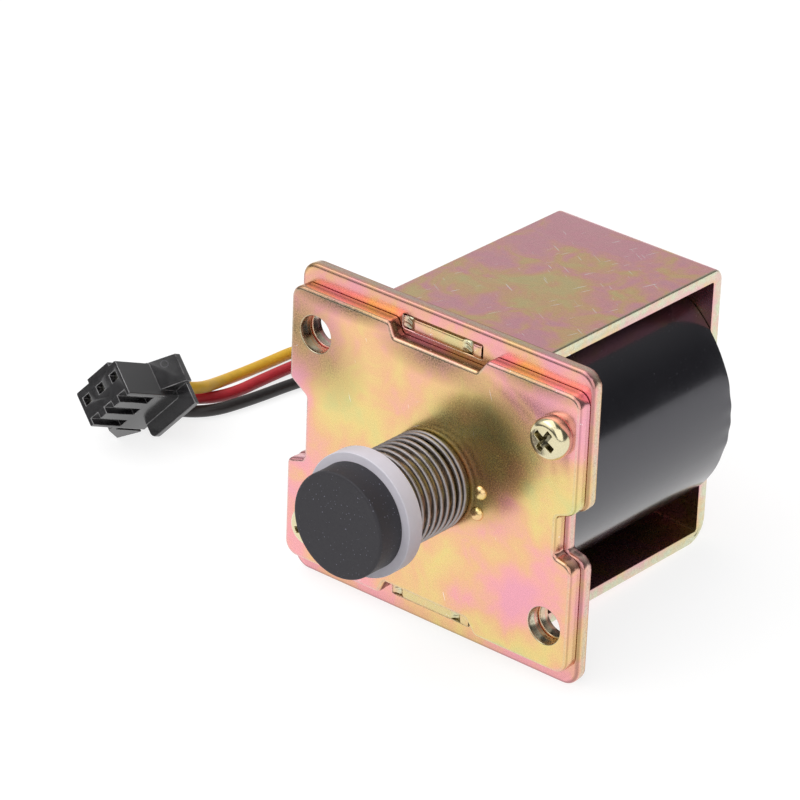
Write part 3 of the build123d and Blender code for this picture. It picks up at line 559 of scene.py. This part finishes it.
# Plates
# Along each loop from the face over the roll, down the wall and over the broken rear edge, at the eleven
# places
# # that plate_patches sets there: above nothing it is pale bare metal, partly worn and partly painted
# highlight;
# # below nothing it is painted shade: a dark band of painted reflection on the roll, and painted shadow in
# the gap
# # at the broken rear edge
FRONT_EDGE_WEAR_AND_PAINTED_LIGHT = [0.0, 0.35, 0.3, -0.35, -0.25, 0.0, 0.0, 0.1, 0.0, -0.9, -0.9]
BACK_EDGE_WEAR_AND_PAINTED_LIGHT = [-0.1, -0.35, -0.5, -0.45, -0.2, 0.3, 0.7, 0.7, 0.4, -0.9, -0.9]
MIDDLE_EDGE_WEAR_AND_PAINTED_LIGHT = [0.0, 0.3, 0.5, 0.1, -0.4, -0.8, -0.85, -0.7, -0.7, -0.9, -0.9]
HOLE_WEAR_AND_PAINTED_LIGHT = [0.0, 0.4, 0.7, 0.8, 0.8, 0.9, 0.9, -0.2, 0.9, -0.3, -0.3]


def plate_patches(outline, holes, front, rear, broken, edge_wear_and_painted_light):
    """Sheet between two faces: along each loop a rolled front edge, a bright wall, a step where the
    metal tore, and the rear edge broken back; the faces are filled between the loops."""
    patches = []
    front_rings, rear_rings = [], []
    torn = front + (rear - front) * TORN_AT
    wall = [torn - 0.08, torn + 0.08, rear - 0.13, rear - 0.08, rear]
    for loop, edge in [(outline, EDGE_ROLL)] + [(hole, HOLE_ROLL) for hole in holes]:
        inset_roll, depth_roll = quarter(edge, edge * 0.85)
        inset = np.concatenate([inset_roll, [0, 0.05, 0.05, broken, broken]])
        depth = np.concatenate([front + depth_roll, wall])
        way = inward(loop)
        placed = loop[:, None, :] + way[:, None, :] * inset[None, :, None]
        y = np.broadcast_to(depth, placed.shape[:2])
        points = np.stack([placed[..., 0], y, placed[..., 1]], axis=-1)
        # Walls near the middle take painted shade; the edge lists above hold the painted highlight and
        # shade of the rest
        in_painted_shade = (np.abs(loop[:, 0]) < PAINTED_SHADE_HALF) & (np.abs(loop[:, 1]) < PAINTED_SHADE_HEIGHT)
        wear_and_painted_light = np.where(in_painted_shade[:, None], MIDDLE_EDGE_WEAR_AND_PAINTED_LIGHT, edge_wear_and_painted_light if loop is outline else HOLE_WEAR_AND_PAINTED_LIGHT)
        patches.append(grid_patch(points, close_u=True, wear_and_painted_light=wear_and_painted_light))
        front_rings.append(placed[:, 0])
        rear_rings.append(placed[:, -1])
    patches.append(flat_patch(front_rings, front))
    patches.append(flat_patch(rear_rings, rear))
    return patches


def plate_outline(left, right, top, corner, end_corners):
    """Corners of a plate, anticlockwise from the lower right, with both notches and what its ends have."""
    depths = (0, NOTCH_DEPTH, NOTCH_DEPTH, 0)
    right_notch = [(right - depth, z, radius) for depth, (z, radius) in zip(depths, RIGHT_NOTCH)]
    left_notch = [(left + depth, z, radius) for depth, (z, radius) in zip(depths, LEFT_NOTCH)]
    corners = [(right, -top, corner), *right_notch, (right, top, corner), *end_corners]
    corners += [(left, top, corner), *left_notch, (left, -top, corner)]
    corners += [(x, -z, radius) for x, z, radius in reversed(end_corners)]
    return rounded_outline(corners)


front_outline = plate_outline(FRONT_LEFT, FRONT_RIGHT, FRONT_TOP, FRONT_CORNER, CUTOUT)
back_outline = plate_outline(BACK_LEFT, BACK_RIGHT, BACK_TOP, BACK_CORNER, [])


def hole_rings(mounting_radius):
    """The four small holes of a plate."""
    mounting = [circle_outline(x, z, mounting_radius) for x, z in MOUNTING_PLACES]
    return mounting + [circle_outline(x, z, SCREW_HOLE, 32) for x, z in SCREW_PLACES]


def slot_ring(side):
    """Slot for a tab, with most of its play above the tab, listed clockwise."""
    left, right = TAB_LEFT - SLOT_SIDE_PLAY[0], TAB_RIGHT + SLOT_SIDE_PLAY[1]
    low, high = sorted((side * TAB_INNER, side * TAB_OUTER))
    low, high = low - SLOT_END_PLAY[0], high + SLOT_END_PLAY[1]
    corners = [(left, low), (left, high), (right, high), (right, low)]
    return rounded_outline([(x, z, SLOT_CORNER) for x, z in corners], 5)


def dimple_patches(x, z, radius=0.86, height=0.62):
    """Pressed dimple: a dome whose height is one less the square of the way out to its foot, to the power
    of 0.6. The foot is closed just inside the sheet."""
    angles = np.linspace(0, TURN, 40, endpoint=False)
    out = np.linspace(0, 1, 14)[:, None]
    drop = height * (1 - out**2) ** 0.6
    across = x + radius * out * np.cos(angles)
    up = z + radius * out * np.sin(angles)
    points = np.stack([across, np.broadcast_to(DIMPLE_SEAT - drop, across.shape), up], axis=-1)
    return [grid_patch(points, close_v=True, wear_and_painted_light=0.1), cap_patch(points[-1], 0.1)]


front_patches = plate_patches(
    front_outline,
    hole_rings(FRONT_HOLE) + [circle_outline(0, 0, PLUNGER_HOLE, 96)],
    0.0, FRONT_GAUGE, FRONT_BREAK, FRONT_EDGE_WEAR_AND_PAINTED_LIGHT,
)
for x, z in DIMPLES:
    front_patches += dimple_patches(x, z)
make_piece("front_plate_sheet", front_patches, front_zinc, "front_plate")
back_patches = plate_patches(
    back_outline,
    hole_rings(BACK_HOLE) + [circle_outline(0, 0, BACK_BORE, 96), slot_ring(1), slot_ring(-1)],
    FRONT_GAUGE, PLATES_REAR, BACK_BREAK, BACK_EDGE_WEAR_AND_PAINTED_LIGHT,
)
make_piece("back_plate_sheet", back_patches, back_zinc, "back_plate")

# Yoke
YOKE_HALF = 11.6
YOKE_GAUGE = 1.5
YOKE_REAR = 37.36
YOKE_OUTER = 17.6
YOKE_TOP_BEND = 1.6
YOKE_BOTTOM_BEND = 3.1
YOKE_INNER_BEND = 0.3
YOKE_ROLL = 0.3
# Along the strip's side wall: how deep and how far in the torn step and the broken edge are, and how worn
# they
# # are; the last value, below nothing, is painted shade, and it also darkens the strip's whole inner face
YOKE_WALL = [(0.8, 0.0, 1.0), (0.92, 0.06, 0.9), (1.46, 0.06, 0.4), (1.5, 0.1, -0.15)]
YOKE_ROLL_WEAR = [0.15, 0.5, 0.9, 1, 1, 1]


def bend(centre, radius, start):
    """Quarter circle of the side view, from the angle start backwards and down."""
    angles = start - np.linspace(0, math.pi / 2, 12)
    return np.stack([centre[0] + radius * np.cos(angles), centre[1] + radius * np.sin(angles)], axis=1)


def yoke_side(rear, height, top_bend, bottom_bend):
    """One face of the strip in side view (y, z): top run, bend, rear wall, bend, bottom run."""
    top = bend((rear - top_bend, height - top_bend), top_bend, math.pi / 2)
    bottom = bend((rear - bottom_bend, -height + bottom_bend), bottom_bend, 0)
    top_run = np.linspace(PLATES_REAR, rear - top_bend, 9)[:-1]
    bottom_run = np.linspace(PLATES_REAR, rear - bottom_bend, 9)[:-1][::-1]
    top_line = np.stack([top_run, np.full(8, height)], axis=1)
    bottom_line = np.stack([bottom_run, np.full(8, -height)], axis=1)
    return np.concatenate([top_line, top, bottom, bottom_line])


def yoke_strip():
    """The strip's section carried along its side view: rolled outer edges, torn step, sharp inner edges."""
    outer = yoke_side(YOKE_REAR, YOKE_OUTER, YOKE_TOP_BEND, YOKE_BOTTOM_BEND)
    inner = yoke_side(YOKE_REAR - YOKE_GAUGE, YOKE_OUTER - YOKE_GAUGE, YOKE_INNER_BEND, YOKE_INNER_BEND)
    inset, depth = quarter(YOKE_ROLL, YOKE_ROLL)
    wall_depth, wall_inset, wall_wear_and_painted_shade = np.array(YOKE_WALL).T
    across = YOKE_HALF - np.concatenate([inset, wall_inset])
    share = np.concatenate([depth, wall_depth]) / YOKE_GAUGE
    wear_and_painted_light = np.concatenate([YOKE_ROLL_WEAR, wall_wear_and_painted_shade])
    across = np.concatenate([across, -across[::-1]])
    share = np.concatenate([share, share[::-1]])
    wear_and_painted_light = np.concatenate([wear_and_painted_light, wear_and_painted_light[::-1]])
    side = outer[:, None, :] + (inner - outer)[:, None, :] * share[None, :, None]
    x = np.broadcast_to(across, side.shape[:2])
    points = np.stack([x, side[..., 0], side[..., 1]], axis=-1)
    return [grid_patch(points, close_v=True, wear_and_painted_light=wear_and_painted_light), cap_patch(points[0]), cap_patch(points[-1])]


def tab_patches(side):
    """Tab in its slot: an end with two punched marks, which are bare metal, and walls back to the strip.
    A mark's depth falls as an exponential of the fourth power of the way from its middle, and the rims
    fall back as an exponential of the distance from them."""
    front, mark_half, mark_depth, crown = FRONT_GAUGE - 0.15, 0.62, 0.34, 0.12
    x = np.linspace(TAB_LEFT, TAB_RIGHT, 121)[:, None]
    z = np.linspace(TAB_INNER, TAB_OUTER, 15)[None, :]
    away = np.minimum(np.abs(x - STAKES[0]), np.abs(x - STAKES[1]))
    marks = np.exp(-((away / mark_half) ** 4))
    rim = np.minimum(z - TAB_INNER, TAB_OUTER - z)
    end = np.minimum(x - TAB_LEFT, TAB_RIGHT - x)
    rounding = crown * np.exp(-rim / crown) + crown * np.exp(-end / crown)
    ripple = 0.06 * np.sin(9 * z + 4 * x) * marks
    y = front + mark_depth * marks + rounding + ripple
    face = np.stack(np.broadcast_arrays(x, y, side * z), axis=-1)
    wear_and_painted_light = np.broadcast_to(0.12 + 0.88 * marks, face.shape[:2])
    edge = np.concatenate([face[:, 0], face[-1, 1:], face[-2::-1, -1], face[0, -2:0:-1]])
    back = edge.copy()
    back[:, 1] = PLATES_REAR
    walls = np.stack([edge, back], axis=1)
    return [grid_patch(face, wear_and_painted_light=wear_and_painted_light), grid_patch(walls, close_u=True), cap_patch(back)]


make_piece("yoke_strip", yoke_strip() + tab_patches(1) + tab_patches(-1), yoke_zinc, "yoke")

# Coil
COIL_FRONT = 3.5
COIL_REAR = 35.76
TAPE_RADIUS = 15.4
FLANGE_RADIUS = 15.0


def tape_patches():
    """Sleeve round the flanges: its radius waves by a product of two sines, of the angle and of the way
    along, with creases that fade as an exponential of the distance from both rims."""
    along = np.linspace(0, 1, 160)[:, None]
    angles = np.linspace(0, TURN, 256, endpoint=False)[None, :]
    edge = np.minimum(along, 1 - along)
    soft = -0.03 + 0.02 * np.sin(3 * angles + 5 * along) * np.sin(7 * along)
    crease = -0.05 * np.exp(-edge / 0.03) * (1 + np.sin(23 * angles + 4 * np.sin(5 * angles)))
    radius = TAPE_RADIUS + soft + crease
    y = np.broadcast_to(COIL_FRONT + (COIL_REAR - COIL_FRONT) * along, radius.shape)
    outside = np.stack([radius * np.cos(angles), y, radius * np.sin(angles)], axis=-1)
    flange = np.full_like(radius, FLANGE_RADIUS)
    lining = np.stack([flange * np.cos(angles), y, flange * np.sin(angles)], axis=-1)[[0, -1]]
    front_rim = np.stack([outside[0], lining[0]])
    rear_rim = np.stack([outside[-1], lining[-1]])
    return [grid_patch(part, close_v=True) for part in (outside, lining, front_rim, rear_rim)]


make_piece("coil_tape", tape_patches(), tape_black, "tape_wrap", sharp=50)

# Plunger, holder and disc
SPRING_FRONT = -9.75
HOLDER_FRONT = -12.0
DISC_FRONT = -15.55
HOLDER_RADIUS = 7.4
HOLDER_BORE = 2.6
DISC_RADIUS = 6.35


def corner_round(radius, y, size):
    """Rounded rim at (radius, y): size is how far it reaches along y, and is negative towards the front."""
    inset, depth = quarter(abs(size), size)
    return list(zip(radius - inset, y + depth))


def holder_profile():
    """White holder: rounded rims and a bore for the plunger's neck."""
    front = corner_round(HOLDER_RADIUS, HOLDER_FRONT, 0.12)
    rear = corner_round(HOLDER_RADIUS, SPRING_FRONT, -0.12)[::-1]
    bore = [(HOLDER_BORE, SPRING_FRONT), (HOLDER_BORE, HOLDER_FRONT)]
    return [(HOLDER_BORE, HOLDER_FRONT)] + front + rear + bore


def disc_profile():
    """Rubber disc: a faint dish, as deep as one less the square of the way out, in its face, a soft rim,
    and the pocket for the plunger's head."""
    face = [(r, DISC_FRONT + 0.04 * (1 - (r / DISC_RADIUS) ** 2)) for r in np.linspace(0, 5.9, 12)]
    rim = corner_round(DISC_RADIUS, DISC_FRONT, 0.28)
    side = [
        (DISC_RADIUS - 0.03 * math.sin(math.pi * share), DISC_FRONT + 0.3 + 3.2 * share)
        for share in np.linspace(0.05, 1, 10)
    ]
    seat = [(6.3, HOLDER_FRONT), (HOLDER_BORE, HOLDER_FRONT)]
    pocket = [(HOLDER_BORE, -13.0), (3.6, -13.0), (3.6, -14.1), (0, -14.1)]
    return face + rim + side + seat + pocket


PLUNGER_PROFILE = [
    (0, -14.0), (3.5, -14.0), (3.5, -13.1), (2.5, -13.1), (2.5, -9.7), (4.25, -9.7), (4.6, -9.35),
    (4.6, 20.15), (4.25, 20.5), (0, 20.5),
]
CORE_PROFILE = [
    (0, 24.8), (4.25, 24.8), (4.6, 25.15), (4.6, 31.21), (3.75, 31.21), (3.75, 32.26), (4.6, 32.26),
    (4.6, 35.86), (2.5, 35.86), (2.5, 37.36), (3.1, 37.36), (3.05, 37.5), (2.8, 37.66), (2.4, 37.74),
    (0.9, 37.76), (0.5, 37.6), (0, 37.55),
]
make_piece("holder_washer", [revolved(holder_profile())], holder_white, "disc_holder")
make_piece("rubber_disc", [revolved(disc_profile())], disc_black, "seal_disc")
make_piece("plunger_shaft", [revolved(PLUNGER_PROFILE)], shaft_zinc, "plunger")
make_piece("core_and_rivet", [revolved(CORE_PROFILE)], core_bright, "fixed_core")


# Return spring
def spring_patches(wire=0.25, mean=5.7, turns=9.5, end_rise=0.56):
    """Wire circle carried along a helix: nearly closed turns at both ends, even pitch between."""
    share = np.linspace(0, turns, int(turns * 72) + 1)
    length = -SPRING_FRONT - 2 * wire
    knots = [0, 1, turns - 1, turns]
    heights = [0, end_rise, length - end_rise, length]
    y = SPRING_FRONT + wire + np.interp(share, knots, heights)
    angle = TURN * share
    out = np.stack([np.cos(angle), np.zeros_like(angle), np.sin(angle)], axis=1)
    back = np.array((0.0, 1.0, 0.0))
    round_wire = np.linspace(0, TURN, 14, endpoint=False)
    section = out[:, None, :] * np.cos(round_wire)[None, :, None] + back * np.sin(round_wire)[None, :, None]
    centre = out * mean + y[:, None] * back
    points = centre[:, None, :] + wire * section
    return [grid_patch(points, close_v=True), cap_patch(points[0]), cap_patch(points[-1])]


spring = make_piece("spring_wire", spring_patches(), spring_grey, "return_spring", merge=1e-6)
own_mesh(spring)


# Screws
def screw_patches(x, z, turn):
    """Pan head with a cross recess: the top is a polar grid pushed in where the cross is, by a smooth step
    across the cross's walls times one less half the square of the way out."""
    head, height, shank, end = 2.5, 2.1, 1.25, 5.2
    top_radius, crown, rim_drop = 1.55, 0.06, 1.15
    arm, slot_half, slot_depth, slope = 1.42, 0.37, 1.15, 0.12
    steps = 144
    angles = np.linspace(0, TURN, steps, endpoint=False)[None, :]
    out = np.linspace(0, top_radius, 52)[:, None]
    across, up = out * np.cos(angles + turn), out * np.sin(angles + turn)
    one = np.minimum(slot_half - np.abs(up), arm - np.abs(across))
    two = np.minimum(slot_half - np.abs(across), arm - np.abs(up))
    into = np.clip(np.maximum(one, two) / slope + 0.3, 0, 1)
    depth = into * into * (3 - 2 * into) * slot_depth * (1 - 0.5 * (out / arm) ** 2)
    y = -height + crown * (out / top_radius) ** 2 + np.maximum(depth, 0)
    top = np.stack([x + out * np.cos(angles), y, z + out * np.sin(angles)], axis=-1)
    # Painted shade in the cross recess, darker where it is deeper
    recess_shade = -0.7 * np.clip(depth / 0.9, 0, 1)
    bows = np.linspace(0, math.pi / 2, 12)
    rim_radius = top_radius + (head - top_radius) * np.sin(bows)
    rim_y = -height + crown + rim_drop * (1 - np.cos(bows))
    under = [(head, -0.12), (head - 0.1, 0.0), (shank, 0.0)]
    tip = [(shank, end - 0.3), (shank - 0.3, end), (0, end)]
    side, faces, wear_and_painted_light = revolved(list(zip(rim_radius, rim_y)) + under + tip, steps)
    return [grid_patch(top, close_v=True, wear_and_painted_light=recess_shade), (side + np.array((x, 0, z)), faces, wear_and_painted_light)]


screw_meshes = screw_patches(*SCREW_PLACES[0], 0.55) + screw_patches(*SCREW_PLACES[1], 1.1)
make_piece("pan_head_screws", screw_meshes, screw_zinc, "cover_screws", sharp=40)


# Leads
LEAD_DIAMETER = 1.5
LEADS = {
    "lead_yellow": [
        (-53.30, 14.77, -12.54), (-53.14, 17.18, -13.49), (-52.61, 19.94, -14.45), (-54.29, 25.04, -16.11),
        (-54.57, 32.59, -16.77), (-53.81, 41.36, -16.46), (-47.1, 47.88, -16.12), (-37.95, 44.54, -15.56),
        (-30.58, 36.97, -9.78), (-24.6, 31.4, -3.0), (-19.4, 31.4, -3.0),
    ],
    "lead_red": [
        (-54.85, 14.14, -14.39), (-54.38, 19.52, -16.41), (-52.81, 25.09, -17.49), (-52.08, 32.32, -16.95),
        (-51.02, 39.77, -16.55), (-44.66, 44.73, -16.31), (-36.53, 40.92, -15.34), (-30.18, 34.57, -9.78),
        (-24.6, 29.2, -3.0), (-19.4, 29.2, -3.0),
    ],
    "lead_black": [
        (-56.40, 13.51, -16.25), (-56.11, 17.67, -17.88), (-51.73, 20.58, -17.68), (-49.94, 26.4, -17.35),
        (-48.51, 33.37, -16.92), (-46.28, 40.05, -16.58), (-39.54, 40.53, -16.15), (-33.37, 34.97, -12.58),
        (-28.38, 28.98, -7.18), (-24.4, 27.0, -3.0), (-19.4, 27.0, -3.0),
    ],
}
LEAD_FINISH = {"lead_yellow": vinyl_yellow, "lead_red": vinyl_red, "lead_black": vinyl_black}


def lay_lead(node, route):
    """A round cord on a smooth spline, from the sleeve to the connector."""
    curve = bpy.data.curves.new(node + "_cord", "CURVE")
    curve.dimensions = "3D"
    spline = curve.splines.new("NURBS")
    spline.points.add(len(route) - 1)
    places = [(x * MM, y * MM, z * MM, 1.0) for x, y, z in reversed(route)]
    spline.points.foreach_set("co", np.array(places).ravel())
    spline.order_u = 3
    spline.use_endpoint_u = True
    spline.resolution_u = 16
    curve.bevel_depth = LEAD_DIAMETER / 2 * MM
    curve.bevel_resolution = 7
    curve.use_fill_caps = True
    curve.materials.append(LEAD_FINISH[node])
    cord = bpy.data.objects.new(node + "_cord", curve)
    bpy.context.scene.collection.objects.link(cord)
    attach(cord, "root")
    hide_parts(node)
    return cord


cords = {node: lay_lead(node, route) for node, route in LEADS.items()}


# The connector and the sleeve keep their own solids with eased edges, and the inner pieces keep theirs as
# they are
EASED_OVER = math.radians(35)
SHADED_OVER = math.radians(15)


def softened(node, name, material, width):
    """A copy of a solid with its edges eased: doubles merged, flat faces joined, sharp edges bevelled.
    The faces that the bevel makes are marked, so that a finish can make them paler: partly worn, partly
    painted highlight."""
    mesh = frame["nodes"][node].data.copy()
    shell = bmesh.new()
    shell.from_mesh(mesh)
    bmesh.ops.remove_doubles(shell, verts=shell.verts, dist=1e-7)
    bmesh.ops.dissolve_limit(shell, angle_limit=math.radians(1), verts=shell.verts, edges=shell.edges)
    worn = shell.faces.layers.float.new("wear_and_painted_light")
    sharp = [edge for edge in shell.edges if edge.is_manifold and edge.calc_face_angle() > EASED_OVER]
    eased = bmesh.ops.bevel(
        shell, geom=sharp, offset=width * MM, offset_type="OFFSET", segments=2, profile=0.5, affect="EDGES",
        clamp_overlap=False,
    )
    for face in eased["faces"]:
        face[worn] = 1.0
    shell.to_mesh(mesh)
    shell.free()
    mesh.materials.clear()
    mesh.materials.append(material)
    mesh.name = name
    thing = bpy.data.objects.new(name, mesh)
    bpy.context.scene.collection.objects.link(thing)
    mesh.polygons.foreach_set("use_smooth", np.ones(len(mesh.polygons), dtype=bool))
    mesh.set_sharp_from_angle(angle=SHADED_OVER)
    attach(thing, body_of[node])
    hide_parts(node)
    return thing


housing = softened("connector_housing", "plug_housing", plug_dark, 0.08)
latch = softened("connector_latch", "plug_latch", plug_dark, 0.03)
terminals = softened("connector_terminals", "plug_terminals", terminal_tin, 0.04)
softened("lead_exit_sleeve", "exit_sleeve", sleeve_black, 0.1)

INNER_FINISH = {
    "bobbin": bobbin_black, "pull_in_winding": wire_copper, "winding_separator": film_yellow,
    "hold_winding": wire_copper, "guide_tube": tube_gold, "tube_seal": ring_black, "core_seal": ring_black,
}
for node, finish in INNER_FINISH.items():
    thing = frame["nodes"][node]
    thing.data.materials.clear()
    thing.data.materials.append(finish)


# Ground, light and camera
GROUND_WIDTH = 6.0
GROUND_PAINT = 0.30
GROUND_SEEN = 0.78
GROUND_MIRRORED = 0.9
REAR_GLOW_WAY = (-0.60, 0.66, 0.45)
FRONT_GLOW_WAY = (-0.53, -0.65, 0.55)
# Place, width and height of each lamp in millimetres, and its watts
LAMPS = {
    "key_lamp": ((420, -330, 330), 800, 700, 2.3),
    "top_lamp": ((-160, -160, 560), 650, 600, 1.7),
}
LAMP_TARGET = (0, 10, 0)


def make_ground():
    """A wide pale ground: it glows for camera and gloss rays, and its paint keeps the valve's shadow."""
    bpy.ops.mesh.primitive_plane_add(size=GROUND_WIDTH)
    ground = bpy.context.object
    ground.name = "ground"
    ground.rotation_euler = (math.radians(GROUND_SLOPE), 0, 0)
    ground.location = (0, GROUND_AT * MM, GROUND_HEIGHT * MM)
    material = bpy.data.materials.new("ground_white")
    material.use_nodes = True
    tree = material.node_tree
    tree.nodes.clear()
    out = tree.nodes.new("ShaderNodeOutputMaterial")
    paint = tree.nodes.new("ShaderNodeBsdfDiffuse")
    paint.inputs["Color"].default_value = (GROUND_PAINT, GROUND_PAINT, GROUND_PAINT, 1)
    glow = tree.nodes.new("ShaderNodeEmission")
    rays = tree.nodes.new("ShaderNodeLightPath")
    either = sums(tree, "MAXIMUM", rays.outputs["Is Glossy Ray"], rays.outputs["Is Transmission Ray"])
    mirrored = sums(tree, "MULTIPLY", either, GROUND_MIRRORED)
    seen = sums(tree, "MULTIPLY", rays.outputs["Is Camera Ray"], GROUND_SEEN)
    tree.links.new(sums(tree, "MAXIMUM", mirrored, seen), glow.inputs["Strength"])
    both = tree.nodes.new("ShaderNodeAddShader")
    tree.links.new(paint.outputs[0], both.inputs[0])
    tree.links.new(glow.outputs[0], both.inputs[1])
    tree.links.new(both.outputs[0], out.inputs["Surface"])
    ground.data.materials.append(material)


def make_world():
    """Soft surroundings: white for the camera, and for all else dim but for broad glows behind the
    valve on the left and in front of it."""
    world = bpy.data.worlds.new("surroundings")
    bpy.context.scene.world = world
    world.use_nodes = True
    tree = world.node_tree
    tree.nodes.clear()
    out = tree.nodes.new("ShaderNodeOutputWorld")
    place = tree.nodes.new("ShaderNodeTexCoord").outputs["Generated"]
    rear_glow = span(tree, toward(tree, place, REAR_GLOW_WAY), 0.30, 0.95, 0.12, 0.60)
    front_glow = span(tree, toward(tree, place, FRONT_GLOW_WAY), 0.76, 0.93, 0.0, 1.2)
    raised = span(tree, toward(tree, place, (0, 0, 1)), 0.16, 0.34)
    tone = sums(tree, "ADD", rear_glow, sums(tree, "MULTIPLY", front_glow, raised))
    soft = tree.nodes.new("ShaderNodeBackground")
    tree.links.new(tone, soft.inputs["Strength"])
    white = tree.nodes.new("ShaderNodeBackground")
    for background in (soft, white):
        background.inputs["Color"].default_value = (*WHITE, 1)
    rays = tree.nodes.new("ShaderNodeLightPath")
    choice = tree.nodes.new("ShaderNodeMixShader")
    tree.links.new(rays.outputs["Is Camera Ray"], choice.inputs["Fac"])
    tree.links.new(soft.outputs[0], choice.inputs[1])
    tree.links.new(white.outputs[0], choice.inputs[2])
    tree.links.new(choice.outputs[0], out.inputs["Surface"])


def soft_lamp(name, place, width, height, watts):
    """A rectangular lamp at a place, facing the valve, with its sizes in millimetres."""
    lamp = bpy.data.lights.new(name, "AREA")
    lamp.shape = "RECTANGLE"
    lamp.size, lamp.size_y = width * MM, height * MM
    lamp.energy = watts
    holder = bpy.data.objects.new(name, lamp)
    holder.location = Vector(place) * MM
    way = Vector(LAMP_TARGET) - Vector(place)
    holder.rotation_euler = way.to_track_quat("-Z", "Y").to_euler()
    bpy.context.scene.collection.objects.link(holder)


def make_camera():
    """The camera at its solved place, with its right and up directions."""
    data = bpy.data.cameras.new("photo_camera")
    data.sensor_width = 36
    data.lens = CAMERA_LENS
    data.clip_start, data.clip_end = 0.01, 20
    camera = bpy.data.objects.new("photo_camera", data)
    right, up = Vector(CAMERA_RIGHT), Vector(CAMERA_UP)
    turned = Matrix((right, up, right.cross(up))).transposed().to_4x4()
    camera.matrix_world = Matrix.Translation(Vector(CAMERA_PLACE) * MM) @ turned
    bpy.context.scene.collection.objects.link(camera)
    bpy.context.scene.camera = camera


make_ground()
make_world()
for lamp_name, lamp_row in LAMPS.items():
    soft_lamp(lamp_name, *lamp_row)
make_camera()

bpy.context.scene.view_settings.view_transform = "Standard"
